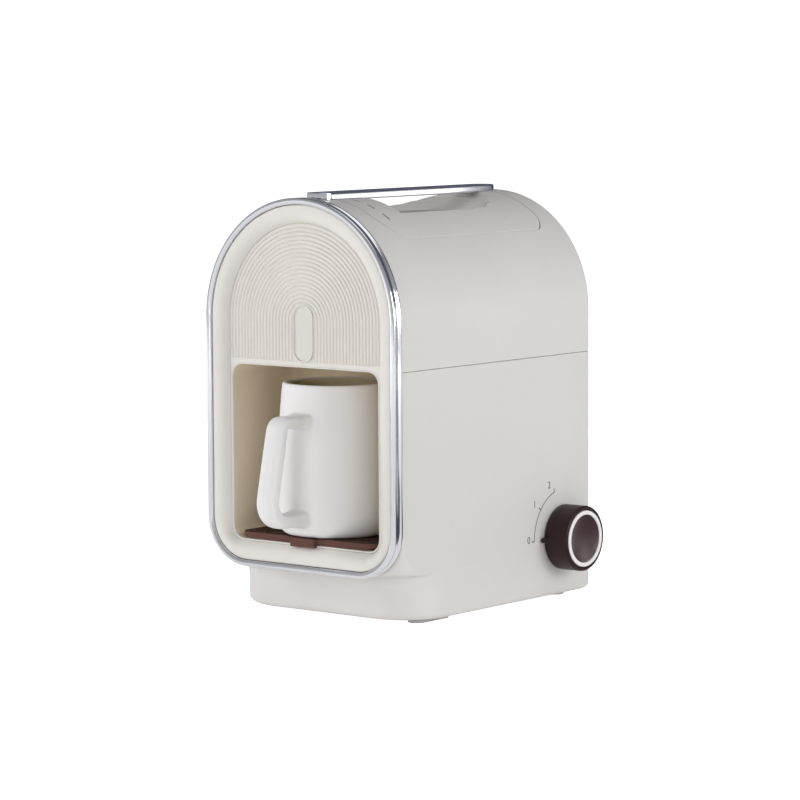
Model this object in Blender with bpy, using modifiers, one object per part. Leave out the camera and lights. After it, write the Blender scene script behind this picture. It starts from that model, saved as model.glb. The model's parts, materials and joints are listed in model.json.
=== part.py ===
"""Drip coffee maker with an arch front, a mug bay, a hinged top lid and a side knob.

Machine frame: X to the right, Y to the back, Z up. X = 0 is the plane of symmetry, Y = 0 is the
front of the trim ring and Z = 0 is the worktop. The empty "machine" carries that frame, and stands
so that the world origin is the middle of the whole set's footprint. Lengths are in metres.
"""

import math

import bmesh
import bpy
from mathutils import Matrix, Vector

MM = 0.001

# ---- driving dimensions: body -------------------------------------------------------------------
BODY_HALF_WIDTH = 75.8 * MM      # also the radius of the dome
BODY_REAR = 206.3 * MM           # rear plane
DOME_Z = 188.4 * MM              # height of the dome's axis
SEAM_Z = 159.8 * MM              # split between the lower and the upper shell
WALL = 2.6 * MM
FOOT_HEIGHT = 2.5 * MM           # worktop to the underside of the body
FIT = 0.3 * MM                   # gap between pieces that touch
BOTTOM_ROUND = 5.0 * MM          # rounding of the bottom edge
REAR_ROUND = 3.0 * MM            # rounding of the rear edge
PLINTH_FRONT = 20.0 * MM         # the plinth's front, set back from the ring
SLIVER = 0.4 * MM                # radius of an edge that looks sharp
FLANGE_WIDTH = 13.0 * MM         # shell flange behind the ring and the bezel
BOTTOM_OPENING_INSET = 9.0 * MM  # from the side wall to the bottom cover's edge

# ---- feet and screws ----------------------------------------------------------------------------
FOOT_WIDTH = 12.0 * MM
FRONT_FOOT_LENGTH = 34.0 * MM
FRONT_FOOT_Y = 54.0 * MM
REAR_FOOT_INSET = 18.3 * MM      # from the rear plane to the rear feet
FOOT_INSET = 15.8 * MM           # from the side wall to the feet
POST_RADIUS = 4.0 * MM
POST_HEIGHT = 17.5 * MM          # over the underside of the body
SCREW_RADIUS = 1.4 * MM
SCREW_HEAD_RADIUS = 3.2 * MM
SCREW_HEAD = 1.4 * MM
FRONT_POST_Y = 86.0 * MM
REAR_POST_INSET = 40.0 * MM      # from the rear plane

# ---- trim ring and bezel ------------------------------------------------------------------------
RING_CORNER = 30.0 * MM
RING_DEPTH = 8.2 * MM
RING_WIDTH = 2.8 * MM             # in from the casing's side
RING_PROUD = 1.2 * MM             # out from the casing's side
RING_HOLLOW = 0.9 * MM           # depth of the hollow band around the ring's side
RING_BEAD = 1.3 * MM             # radius of the ring's front bead
BEZEL_WIDTH = 11.5 * MM
BEZEL_FRONT = 1.3 * MM           # highest line of the bezel
FIELD_Y = 6.1 * MM               # recessed front field
FIELD_THICKNESS = 2.0 * MM
FIELD_CORNER = 9.5 * MM
PANEL_BOTTOM = 163.0 * MM
BADGE_WIDTH = 16.5 * MM
BADGE_BOTTOM = 162.4 * MM
BADGE_TOP = 198.7 * MM
BADGE_THICKNESS = 1.1 * MM

# ---- mug bay ------------------------------------------------------------------------------------
BAY_HALF_WIDTH = 59.5 * MM
BAY_FLOOR = 48.0 * MM
BAY_SILL = 15.9 * MM              # from the ring's bottom edge up to the bay's floor
BAY_CEILING = 159.1 * MM
BAY_CORNER = 8.0 * MM
BAY_WALL = 1.8 * MM
BAY_STRAIGHT = 58.0 * MM         # where the side walls start to close in
BAY_BACK = 98.0 * MM
BAY_BACK_HALF_WIDTH = 12.0 * MM
MAT_EDGE_GAP = 0.46 * BAY_CORNER
MAT_CHAMFER = (0.36 * BAY_CORNER, 1.5 * MM)  # in and up, clear of the liner's rounded corners
MAT_THICKNESS = 3.9 * MM
MAT_FRONT = 6.8 * MM
TAB_WIDTH = 20.0 * MM
TAB_REACH = 4.6 * MM
TAB_THICKNESS = 3.3 * MM

# ---- lid ----------------------------------------------------------------------------------------
LID_HALF_WIDTH = 55.3 * MM
LID_FRONT = 26.5 * MM
LID_REAR = 186.6 * MM
LID_FRONT_CORNER = 20.0 * MM
LID_REAR_CORNER = 12.0 * MM
LID_WALL = 2.5 * MM
LID_GAP = 0.5 * MM
DISH_FRONT = 57.5 * MM
DISH_END = 11.6 * MM              # lid left behind the dish
DISH_RADIUS = 49.0 * MM
DISH_FLOOR = 252.5 * MM
SLOT_Y = 40.0 * MM
SLOT_LENGTH = 5.0 * MM
SLOT_WIDTH = 1.2 * MM
SLOT_SPACING = 12.0 * MM
SLOTS_PER_SIDE = 3
HINGE_BEHIND_LID = 11.4 * MM
HINGE_DEPTH = 2.0 * MM           # below the crown of the dome
KNUCKLE_RADIUS = 2.3 * MM
KNUCKLE_HALF_WIDTH = 7.0 * MM
HINGE_PIN_RADIUS = 0.9 * MM
HINGE_PIN_HALF_LENGTH = 12.0 * MM
HINGE_CLEARANCE = 0.5 * MM
HINGE_BOSS_HALF_WIDTH = 14.0 * MM
HINGE_ARM_ROOT = 2.0 * MM        # how far the knuckle's arm runs into the lid
BAR_FRONT = 15.0 * MM
BAR_PAST_LID = 9.4 * MM
BAR_WIDTH = 18.0 * MM
BAR_RISE = 3.9 * MM              # top of the bar over the crown
BAR_THICKNESS = 5.0 * MM
BAR_EDGE = 1.2 * MM              # rounding of the bar's edges

# ---- deck, tank and filter ----------------------------------------------------------------------
DECK_TOP = 234.5 * MM
DECK_THICKNESS = 2.5 * MM
BREW_Y = 58.0 * MM               # axis of the filter and the spout
FILTER_RADIUS = 39.2 * MM
FILTER_DEPTH = 62.0 * MM
FILTER_WALL = 1.8 * MM
SPOUT_RADIUS = 5.5 * MM
SPOUT_BELOW_CEILING = 1.6 * MM
SIEVE_WALL = 1.2 * MM
SIEVE_GAP = 0.9 * MM
TANK_HALF_WIDTH = 46.5 * MM
TANK_FRONT = 113.0 * MM
TANK_REAR = 185.0 * MM
TANK_BOTTOM = 168.0 * MM
TANK_WALL = 2.0 * MM
TANK_CORNER = 12.0 * MM
RIM_WIDTH = 2.6 * MM             # flanges that rest on the deck
RIM_THICKNESS = 1.5 * MM
RISER_Y = 105.0 * MM
RISER_RADIUS = 4.0 * MM
RISER_STUB_WALL = 1.0 * MM
SHOWER_LIFT = 5.0 * MM           # underside of the shower head over the deck
SHOWER_THICKNESS = 4.0 * MM
SHOWER_RADIUS = 15.0 * MM
SHOWER_ARM_WIDTH = 9.0 * MM

# ---- heater and wiring --------------------------------------------------------------------------
HEATER_LOW = (-45.0 * MM, 118.0 * MM, 22.0 * MM)
HEATER_HIGH = (35.0 * MM, 162.0 * MM, 44.0 * MM)
HOSE_X = -25.0 * MM
HOSE_Y = 150.0 * MM
HOSE_RADIUS = 4.0 * MM
VALVE_BOTTOM = 120.0 * MM
VALVE_LENGTH = 18.0 * MM
GLAND_X = -50.0 * MM
GLAND_Z = 28.0 * MM
GLAND_RADIUS = 5.2 * MM
GLAND_FLANGE = 2.0 * MM
GLAND_BORE = 3.2 * MM
GLAND_LIP = 2.3 * MM             # flange beyond the hole in the wall
GLAND_EDGE = 0.7 * MM
GLAND_LENGTH = 4.0 * MM          # inside the wall
SPIGOT_LENGTH = 8.0 * MM
HEATER_ROUND = 3.0 * MM
THERMOSTAT_RADIUS = 8.0 * MM
THERMOSTAT_HEIGHT = 6.0 * MM
FUSE_RADIUS = 2.2 * MM
FUSE_START = 12.0 * MM           # from the thermostat's axis
FUSE_LENGTH = 20.0 * MM
FUSE_SHIFT = 14.0 * MM           # towards the back
SWITCH_SIZE = (16.0 * MM, 24.0 * MM, 23.0 * MM)
TERMINAL_SIZE = (24.0 * MM, 16.0 * MM, 15.7 * MM)
TERMINAL_SHIFT = 12.0 * MM       # from the cord's axis
TERMINAL_REAR_INSET = 14.0 * MM
TERMINAL_ROUND = 0.8 * MM

# ---- knob ---------------------------------------------------------------------------------------
KNOB_Y = 176.0 * MM
KNOB_Z = 40.5 * MM
KNOB_RADIUS = 21.3 * MM
KNOB_HEIGHT = 17.6 * MM
KNOB_GAP = 0.6 * MM
KNOB_RING_RADIUS = 18.3 * MM
KNOB_RING_WIDTH = 2.7 * MM
KNOB_RING_PROUD = 0.6 * MM
KNOB_SHOULDER = 1.6 * MM
KNOB_DISH = 1.6 * MM
KNOB_SEAT = 1.4 * MM             # depth of the seat of the ring and the cap
KNOB_RING_ROUND = 0.5 * MM
POINTER_REACH = 4.2 * MM
POINTER_ROOT = 1.5 * MM          # how far the pointer runs into the knob
POINTER_HALF_WIDTH = 1.3 * MM
POINTER_TIP_HEIGHT = 2.0 * MM
POINTER_ROOT_HEIGHT = 9.0 * MM
SHAFT_COVER = 5.4 * MM           # knob material over the shaft's end
SHAFT_RADIUS = 3.0 * MM

# ---- mug ----------------------------------------------------------------------------------------
MUG_Y = 36.5 * MM
MUG_HEIGHT = 96.3 * MM
MUG_RIM_RADIUS = 33.7 * MM
MUG_BELLY_RADIUS = 38.4 * MM
MUG_FOOT_RADIUS = 30.0 * MM
MUG_BELLY_HEIGHT = 15.0 * MM
MUG_WALL = 3.6 * MM
MUG_HANDLE_WIDTH = 14.0 * MM
MUG_FLOOR = 5.0 * MM
MUG_HANDLE_REACH = 35.6 * MM     # from the belly to the corner of the grip before rounding
MUG_HANDLE_LEAN = 13.0 * MM      # how far the grip's top stands behind its foot
MUG_HANDLE_GRIP = 10.5 * MM
MUG_HANDLE_LOW = 7.8 * MM        # from the mug's foot to the handle's underside
MUG_HANDLE_HIGH = 78.0 * MM
MUG_HANDLE_ROUNDS = (9.5 * MM, 17.0 * MM)  # outer corners: top, foot
MUG_HANDLE_HOLE_ROUNDS = (4.0 * MM, 7.0 * MM)
MUG_HANDLE_EDGE = 2.6 * MM
MUG_HANDLE_ROOT_HEIGHT = 20.0 * MM

# ---- worked out from the driving dimensions -----------------------------------------------------
CROWN_Z = DOME_Z + BODY_HALF_WIDTH
RING_BOTTOM = BAY_FLOOR - BAY_SILL
DISH_CENTRE = LID_REAR - DISH_END - DISH_RADIUS  # centre of the dish's round rear end
HINGE_Y = LID_REAR + HINGE_BEHIND_LID
BAR_REAR = LID_REAR + BAR_PAST_LID
SHELL_FRONT = RING_DEPTH + FIT
HINGE_Z = CROWN_Z - HINGE_DEPTH
KNOB_FACE_X = BODY_HALF_WIDTH + KNOB_GAP + KNOB_HEIGHT
GLAND_REAR = BODY_REAR + FIT + GLAND_FLANGE
MAT_BOTTOM = BAY_FLOOR + FIT
MUG_BASE = MAT_BOTTOM + MAT_THICKNESS + FIT
MUG_GRIP_FRONT = MUG_Y - MUG_BELLY_RADIUS - MUG_HANDLE_REACH
FIELD_INSET = RING_WIDTH + FIT + BEZEL_WIDTH

UNDERSIDE_TOP = FOOT_HEIGHT + WALL
POST_TOP = FOOT_HEIGHT + POST_HEIGHT
FOOT_X = BODY_HALF_WIDTH - FOOT_INSET
REAR_FOOT_Y = BODY_REAR - REAR_FOOT_INSET
SHOWER_BOTTOM = DECK_TOP + SHOWER_LIFT

ARCH_STEPS = 40                  # facets of the half circle
CORNER_STEPS = 5

COLOURS = {
    "shell": ((0.63, 0.61, 0.58), 0.45, 0.0),
    "bezel": ((0.72, 0.69, 0.65), 0.45, 0.0),
    "liner": ((0.55, 0.50, 0.40), 0.5, 0.0),
    "chrome": ((0.80, 0.80, 0.82), 0.12, 1.0),
    "brown_rubber": ((0.06, 0.03, 0.02), 0.6, 0.0),
    "knob": ((0.035, 0.018, 0.018), 0.35, 0.0),
    "white": ((0.85, 0.83, 0.81), 0.3, 0.0),
    "ceramic": ((0.80, 0.79, 0.78), 0.25, 0.0),
    "clear": ((0.75, 0.80, 0.82), 0.1, 0.0),
    "steel": ((0.60, 0.60, 0.60), 0.3, 1.0),
    "silicone": ((0.75, 0.74, 0.70), 0.6, 0.0),
    "black": ((0.03, 0.03, 0.03), 0.6, 0.0),
}


# ---- scene and objects --------------------------------------------------------------------------
def clear_scene():
    for obj in list(bpy.data.objects):
        bpy.data.objects.remove(obj)


def new_collection(name):
    collection = bpy.data.collections.new(name)
    bpy.context.scene.collection.children.link(collection)
    return collection


def material(name):
    found = bpy.data.materials.get(name)
    if found:
        return found
    colour, roughness, metallic = COLOURS[name]
    made = bpy.data.materials.new(name)
    made.use_nodes = True
    shader = made.node_tree.nodes["Principled BSDF"]
    shader.inputs["Base Color"].default_value = (*colour, 1.0)
    shader.inputs["Roughness"].default_value = roughness
    shader.inputs["Metallic"].default_value = metallic
    return made


def empty(name, position, parent=None):
    obj = bpy.data.objects.new(name, None)
    obj.empty_display_size = 0.02
    obj.parent = parent
    origin = parent["machine_position"] if parent else (0, 0, 0)
    obj.location = Vector(position) - Vector(origin)
    obj["machine_position"] = tuple(position) if parent else (0.0, 0.0, 0.0)
    PARTS.objects.link(obj)
    return obj


def place(obj, colour=None, holder=None, sharp=30):
    """Hang an object, modelled in the machine frame, under an empty; no colour means a cutter."""
    holder = holder or MACHINE
    obj.parent = holder
    obj.location = -Vector(holder["machine_position"])
    if colour:
        obj.data.materials.clear()
        obj.data.materials.append(material(colour))
        obj.data.shade_smooth()
        obj.data.set_sharp_from_angle(angle=math.radians(sharp))
        PARTS.objects.link(obj)
    else:
        obj.hide_render = True
        obj.display_type = "WIRE"
        CUTTERS.objects.link(obj)
    return obj


def object_from(bm, name):
    bmesh.ops.recalc_face_normals(bm, faces=bm.faces)
    mesh = bpy.data.meshes.new(name)
    bm.to_mesh(mesh)
    bm.free()
    return bpy.data.objects.new(name, mesh)


def boolean(obj, operation, cutter):
    modifier = obj.modifiers.new(f"{operation.lower()} {cutter.name}", "BOOLEAN")
    modifier.operation = operation
    modifier.solver = "EXACT"
    modifier.object = cutter
    return obj


def cut(obj, *cutters):
    for cutter in cutters:
        boolean(obj, "DIFFERENCE", cutter)
    return obj


def join(obj, *added):
    for piece in added:
        boolean(obj, "UNION", piece)
    return obj


def bevel(obj, width, segments=2, angle=40):
    modifier = obj.modifiers.new("round edges", "BEVEL")
    modifier.width = width
    modifier.segments = segments
    modifier.limit_method = "ANGLE"
    modifier.angle_limit = math.radians(angle)
    return obj


# ---- solids -------------------------------------------------------------------------------------
def box(name, low, high):
    bm = bmesh.new()
    bmesh.ops.create_cube(bm, size=1.0)
    low, high = Vector(low), Vector(high)
    bmesh.ops.scale(bm, vec=high - low, verts=bm.verts)
    bmesh.ops.translate(bm, vec=(low + high) / 2, verts=bm.verts)
    return object_from(bm, name)


def rod(name, start, end, radius, segments=16):
    """A cylinder from one point to another."""
    bm = bmesh.new()
    start, end = Vector(start), Vector(end)
    along = end - start
    turn = along.to_track_quat("Z", "Y").to_matrix().to_4x4()
    bmesh.ops.create_cone(
        bm, cap_ends=True, segments=segments, radius1=radius, radius2=radius,
        depth=along.length, matrix=Matrix.Translation((start + end) / 2) @ turn,
    )
    return object_from(bm, name)


def turned(name, profile, position, axis="Z", steps=32):
    """A profile of (radius, height) turned about an axis through the position."""
    mesh = bpy.data.meshes.new(name)
    points = [(radius, 0.0, height) for radius, height in profile]
    on_axis = profile[0][0] == 0 and profile[-1][0] == 0
    edges = [(i, i + 1) for i in range(len(points) - 1)]
    if not on_axis:
        edges.append((len(points) - 1, 0))
    mesh.from_pydata(points, edges, [])
    turning = bpy.data.objects.new(name, mesh)
    screw = turning.modifiers.new("turn", "SCREW")
    screw.steps = steps
    screw.render_steps = steps
    screw.use_merge_vertices = True
    screw.merge_threshold = 0.00001
    solid = evaluated_copy(turning, name)
    bm = bmesh.new()
    bm.from_mesh(solid.data)
    rotation = {"Z": Matrix.Identity(4), "X": Matrix.Rotation(math.pi / 2, 4, "Y"),
                "Y": Matrix.Rotation(-math.pi / 2, 4, "X")}[axis]
    bmesh.ops.transform(bm, matrix=Matrix.Translation(position) @ rotation, verts=bm.verts)
    bpy.data.objects.remove(solid)
    return object_from(bm, name)


def evaluated_copy(obj, name):
    """The object's shape with its modifiers, or its curve's solid, as a plain welded mesh."""
    bpy.context.scene.collection.objects.link(obj)
    graph = bpy.context.evaluated_depsgraph_get()
    mesh = bpy.data.meshes.new_from_object(obj.evaluated_get(graph))
    bm = bmesh.new()
    bm.from_mesh(mesh)
    bmesh.ops.remove_doubles(bm, verts=bm.verts, dist=0.000001)
    bmesh.ops.recalc_face_normals(bm, faces=bm.faces)
    bm.to_mesh(mesh)
    bm.free()
    bpy.data.objects.remove(obj)
    mesh.name = name
    return bpy.data.objects.new(name, mesh)


def plate(name, outline, low, high, facing="Z"):
    """A flat outline between two levels; facing Y takes the outline as (x, z)."""
    curve = bpy.data.curves.new(name, "CURVE")
    curve.dimensions = "2D"
    curve.fill_mode = "BOTH"
    curve.extrude = (high - low) / 2
    spline = curve.splines.new("POLY")
    spline.points.add(len(outline) - 1)
    for point, (across, up) in zip(spline.points, outline):
        point.co = (across, up, 0.0, 1.0)
    spline.use_cyclic_u = True
    solid = evaluated_copy(bpy.data.objects.new(name, curve), name)
    turn = Matrix.Rotation(math.pi / 2, 4, "X") if facing == "Y" else Matrix.Identity(4)
    middle = (low + high) / 2
    shift = (0, middle, 0) if facing == "Y" else (0, 0, middle)
    solid.data.transform(Matrix.Translation(shift) @ turn)
    return solid


def loft(name, loops, closed=False):
    """A skin through loops of equally many points: capped, or joined last to first."""
    bm = bmesh.new()
    rings = [[bm.verts.new(point) for point in loop] for loop in loops]
    count = len(rings[0])
    pairs = list(zip(rings, rings[1:]))
    if closed:
        pairs.append((rings[-1], rings[0]))
    for near, far in pairs:
        for i in range(count):
            j = (i + 1) % count
            bm.faces.new((near[i], near[j], far[j], far[i]))
    if not closed:
        bm.faces.new(rings[0])
        bm.faces.new(rings[-1])
    return object_from(bm, name)


def tube(name, points, radius):
    """A round hose along a smooth line through the points."""
    curve = bpy.data.curves.new(name, "CURVE")
    curve.dimensions = "3D"
    curve.bevel_depth = radius
    curve.bevel_resolution = 2
    curve.use_fill_caps = True
    spline = curve.splines.new("POLY")
    spline.points.add(len(points) - 1)
    for point, place_at in zip(spline.points, points):
        point.co = (*place_at, 1.0)
    return evaluated_copy(bpy.data.objects.new(name, curve), name)


# ---- outlines -----------------------------------------------------------------------------------
def arc(centre, radius, start, end, steps):
    """Points on a circle from one angle to another, in degrees."""
    angles = [math.radians(start + (end - start) * i / steps) for i in range(steps + 1)]
    return [(centre[0] + radius * math.cos(a), centre[1] + radius * math.sin(a)) for a in angles]


def arch_outline(inset=0.0, corner=None, bottom=RING_BOTTOM):
    """The front's (x, z) outline, set in: a half circle over straight sides and round corners."""
    half, low = BODY_HALF_WIDTH - inset, bottom + inset
    radius = RING_CORNER - inset if corner is None else corner
    points = arc((-half + radius, low + radius), radius, 180, 270, CORNER_STEPS)
    points += arc((half - radius, low + radius), radius, 270, 360, CORNER_STEPS)
    return points + arc((0.0, DOME_Z), half, 0, 180, ARCH_STEPS)


def window_outline():
    """The opening behind the bezel that the bay liner goes through."""
    return arch_outline(FLANGE_WIDTH, BAY_CORNER + BAY_WALL + FIT)


def dome_outline(inset, bottom):
    """The upper body's (x, z) outline: a half circle over straight sides with square corners."""
    half = BODY_HALF_WIDTH - inset
    return [(-half, bottom), (half, bottom)] + arc((0.0, DOME_Z), half, 0, 180, ARCH_STEPS)


def rounded(low, high, radii, steps=CORNER_STEPS):
    """A rectangle with its four corner radii, from the low corner anticlockwise."""
    (x0, y0), (x1, y1) = low, high
    a, b, c, d = radii
    points = arc((x0 + a, y0 + a), a, 180, 270, steps)
    points += arc((x1 - b, y0 + b), b, 270, 360, steps)
    points += arc((x1 - c, y1 - c), c, 0, 90, steps)
    return points + arc((x0 + d, y1 - d), d, 90, 180, steps)


def plan(half, front, rear, front_corner, rear_corner):
    """A body's (x, y) outline."""
    return rounded((-half, front), (half, rear),
                   (front_corner, front_corner, rear_corner, rear_corner))


def at_height(outline, z):
    return [(x, y, z) for x, y in outline]


def at_depth(outline, y):
    return [(x, y, z) for x, z in outline]


def stadium(centre, length, width, steps=6):
    """A slot outline along the first direction."""
    reach = (length - width) / 2
    x, y = centre
    return (arc((x + reach, y), width / 2, -90, 90, steps)
            + arc((x - reach, y), width / 2, 90, 270, steps))


# ---- casing -------------------------------------------------------------------------------------
def lower_skin_levels():
    """(height, front, front corner radius, inset) up the lower shell's outside."""
    levels = []
    for i in range(4):
        a = math.radians(90 * i / 3)
        levels.append((FOOT_HEIGHT + BOTTOM_ROUND * (1 - math.cos(a)), PLINTH_FRONT, RING_CORNER,
                       BOTTOM_ROUND * (1 - math.sin(a))))
    setback = PLINTH_FRONT - SHELL_FRONT
    for i in range(6):
        a = math.radians(90 * i / 5)
        levels.append((RING_BOTTOM - setback * (1 - math.sin(a)),
                       PLINTH_FRONT - setback * (1 - math.cos(a)), RING_CORNER, 0.0))
    for i in range(1, 7):
        a = math.radians(90 * i / 6)
        levels.append((RING_BOTTOM + RING_CORNER * (1 - math.cos(a)), SHELL_FRONT,
                       max(RING_CORNER * (1 - math.sin(a)), SLIVER), 0.0))
    levels.append((SEAM_Z - FIT / 2, SHELL_FRONT, SLIVER, 0.0))
    return levels


def lower_shell():
    skin = []
    for z, front, corner, inset in lower_skin_levels():
        skin.append(at_height(plan(BODY_HALF_WIDTH - inset, front + inset, BODY_REAR - inset,
                                   corner, REAR_ROUND), z))
    shell = loft("lower_shell", skin)

    def hollow(z, front, corner, inset=WALL):
        return at_height(plan(BODY_HALF_WIDTH - inset, front, BODY_REAR - inset,
                              corner, SLIVER), z)

    floor_top = UNDERSIDE_TOP
    opening = BOTTOM_OPENING_INSET
    plinth_inside = PLINTH_FRONT + WALL
    step_z = RING_BOTTOM + WALL
    core = loft("lower_core", [
        hollow(0.0, PLINTH_FRONT + opening, RING_CORNER - opening, opening),
        hollow(floor_top, PLINTH_FRONT + opening, RING_CORNER - opening, opening),
        hollow(floor_top, plinth_inside, RING_CORNER - WALL),
        hollow(step_z, plinth_inside, RING_CORNER - WALL),
        hollow(step_z + RING_CORNER - WALL, SHELL_FRONT + WALL, SLIVER),
        hollow(SEAM_Z + WALL, SHELL_FRONT + WALL, SLIVER),
    ])
    place(core)
    window = place(plate("front_window_lower", window_outline(), SHELL_FRONT - WALL,
                         PLINTH_FRONT + 2 * WALL, "Y"))
    shaft_hole = place(rod("shaft_hole", (BODY_HALF_WIDTH - 3 * WALL, KNOB_Y, KNOB_Z),
                           (BODY_HALF_WIDTH + WALL, KNOB_Y, KNOB_Z), SHAFT_RADIUS + 2 * FIT, 20))
    gland_hole = place(rod("gland_hole", (GLAND_X, BODY_REAR - 3 * WALL, GLAND_Z),
                           (GLAND_X, BODY_REAR + WALL, GLAND_Z), GLAND_RADIUS + FIT, 20))
    place(shell, "shell")
    cut(shell, core, window, shaft_hole, gland_hole)
    for number, (x, y) in enumerate(screw_places(), 1):
        side = math.copysign(1.0, x)
        wall_x = side * (BODY_HALF_WIDTH - WALL / 2)
        low, high = sorted((x, wall_x))
        post = rod(f"post_{number}", (x, y, floor_top + FIT), (x, y, POST_TOP), POST_RADIUS, 12)
        rib = box(f"post_rib_{number}", (low, y - WALL / 2, floor_top + 2 * FIT),
                  (high, y + WALL / 2, POST_TOP - FIT))
        hole = rod(f"post_hole_{number}", (x, y, floor_top - WALL),
                   (x, y, POST_TOP - WALL), SCREW_RADIUS + FIT, 10)
        join(shell, place(post), place(rib))
        cut(shell, place(hole))
    return shell


def screw_places():
    """Where the bottom cover's screws go, in (x, y)."""
    x = BODY_HALF_WIDTH - BOTTOM_OPENING_INSET - POST_RADIUS - FIT
    return [(side * x, y) for y in (FRONT_POST_Y, BODY_REAR - REAR_POST_INSET)
            for side in (-1, 1)]


def upper_shell():
    skin = [at_depth(dome_outline(0.0, SEAM_Z + FIT / 2), SHELL_FRONT)]
    for i in range(4):
        a = math.radians(90 * i / 3)
        skin.append(at_depth(dome_outline(REAR_ROUND * (1 - math.cos(a)), SEAM_Z + FIT / 2),
                             BODY_REAR - REAR_ROUND * (1 - math.sin(a))))
    shell = loft("upper_shell", skin)
    core_outline = dome_outline(WALL, SEAM_Z - WALL)
    core = place(loft("upper_core", [at_depth(core_outline, SHELL_FRONT + WALL),
                                     at_depth(core_outline, BODY_REAR - WALL)]))
    window = place(plate("front_window_upper", window_outline(), SHELL_FRONT - WALL,
                         SHELL_FRONT + 2 * WALL, "Y"))
    lid_hole = place(plate("lid_hole", lid_outline(LID_GAP), DECK_TOP, CROWN_Z + WALL))
    boss_top = DOME_Z + math.sqrt(BODY_HALF_WIDTH ** 2 - HINGE_BOSS_HALF_WIDTH ** 2) - FIT
    boss = place(box("hinge_boss", (-HINGE_BOSS_HALF_WIDTH, LID_REAR + 2 * LID_GAP,
                                    HINGE_Z - KNUCKLE_RADIUS - HINGE_CLEARANCE - FIT),
                     (HINGE_BOSS_HALF_WIDTH, BODY_REAR - WALL / 2, boss_top)))
    notch = place(box("hinge_notch", (-KNUCKLE_HALF_WIDTH - HINGE_CLEARANCE, LID_REAR - WALL,
                                      HINGE_Z - KNUCKLE_RADIUS - WALL),
                      (KNUCKLE_HALF_WIDTH + HINGE_CLEARANCE,
                       HINGE_Y + KNUCKLE_RADIUS + HINGE_CLEARANCE, CROWN_Z + WALL)))
    reach = HINGE_PIN_HALF_LENGTH + FIT
    pin_hole = place(rod("pin_hole_shell", (-reach, HINGE_Y, HINGE_Z), (reach, HINGE_Y, HINGE_Z),
                         HINGE_PIN_RADIUS + FIT, 12))
    place(shell, "shell")
    cut(shell, core, window, lid_hole)
    join(shell, boss)
    return cut(shell, notch, pin_hole)


def base_plate():
    inset = BOTTOM_OPENING_INSET + FIT
    outline = plan(BODY_HALF_WIDTH - inset, PLINTH_FRONT + inset, BODY_REAR - inset,
                   RING_CORNER - inset, SLIVER)
    cover = plate("base_plate", outline, FOOT_HEIGHT, FOOT_HEIGHT + WALL - FIT)
    place(cover, "shell")
    for number, (x, y) in enumerate(screw_places(), 1):
        hole = rod(f"cover_hole_{number}", (x, y, 0.0), (x, y, 2 * WALL + FOOT_HEIGHT),
                   SCREW_RADIUS + FIT, 10)
        cut(cover, place(hole))
    return cover


def base_screws():
    top = FOOT_HEIGHT - FIT
    for number, (x, y) in enumerate(screw_places(), 1):
        profile = [(0.0, POST_TOP - 2 * WALL), (SCREW_RADIUS, POST_TOP - 2 * WALL),
                   (SCREW_RADIUS, top), (SCREW_HEAD_RADIUS, top),
                   (SCREW_HEAD_RADIUS, top - SCREW_HEAD), (0.0, top - SCREW_HEAD)]
        screw = turned(f"base_screw_{number}", profile, (x, y, 0.0), steps=12)
        place(screw, "steel")


def feet():
    places = {"foot_front_left": (-FOOT_X, FRONT_FOOT_Y, FRONT_FOOT_LENGTH),
              "foot_front_right": (FOOT_X, FRONT_FOOT_Y, FRONT_FOOT_LENGTH),
              "foot_rear_left": (-FOOT_X, REAR_FOOT_Y, FOOT_WIDTH),
              "foot_rear_right": (FOOT_X, REAR_FOOT_Y, FOOT_WIDTH)}
    for name, (x, y, length) in places.items():
        outline = [(x - v, y + u) for u, v in stadium((0.0, 0.0), length + SLIVER, FOOT_WIDTH)]
        place(plate(name, outline, 0.0, FOOT_HEIGHT - FIT), "black")


# ---- front --------------------------------------------------------------------------------------
def chrome_ring():
    """Front bead, hollow band around the side, rear bead."""
    bead, hollow, rear, side = RING_BEAD, RING_HOLLOW, RING_DEPTH, -RING_PROUD
    section = [(side, rear), (side, rear - bead), (side + 0.6 * hollow, rear - 1.7 * bead),
               (side + hollow, rear / 2), (side + 0.6 * hollow, 2.4 * bead), (side, 1.7 * bead),
               (side, bead), (side + 0.3 * bead, 0.3 * bead), ((side + RING_WIDTH) / 2, 0.0),
               (RING_WIDTH - 0.3 * bead, 0.3 * bead), (RING_WIDTH, bead), (RING_WIDTH, rear)]
    return place(loft("chrome_ring", [at_depth(arch_outline(d), y) for d, y in section],
                      closed=True), "chrome", sharp=50)


def front_bezel():
    """A border whose face rolls from the ring down to the recessed field."""
    start, back = RING_WIDTH + FIT, FIELD_Y + FIELD_THICKNESS
    drop = FIELD_Y - BEZEL_FRONT
    corner = RING_CORNER - start

    def edge(share, y):
        return at_depth(arch_outline(start + share * BEZEL_WIDTH,
                                     corner + share * (FIELD_CORNER - corner)), y)

    face = [edge(0.0, BEZEL_FRONT + 0.5 * MM), edge(0.12, BEZEL_FRONT)]
    for i in range(1, 6):
        share = i / 5
        face.append(edge(0.3 + 0.7 * share, BEZEL_FRONT + drop * share ** 1.8))
    return place(loft("front_bezel", [edge(0.0, back)] + face + [edge(1.0, back)], closed=True),
                 "bezel", sharp=50)


def ribbed_panel():
    inset = FIELD_INSET + FIT
    half = BODY_HALF_WIDTH - inset
    outline = [(-half, PANEL_BOTTOM), (half, PANEL_BOTTOM)]
    outline += arc((0.0, DOME_Z), half, 0, 180, ARCH_STEPS)
    return place(plate("ribbed_panel", outline, FIELD_Y, FIELD_Y + FIELD_THICKNESS, "Y"), "bezel")


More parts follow.
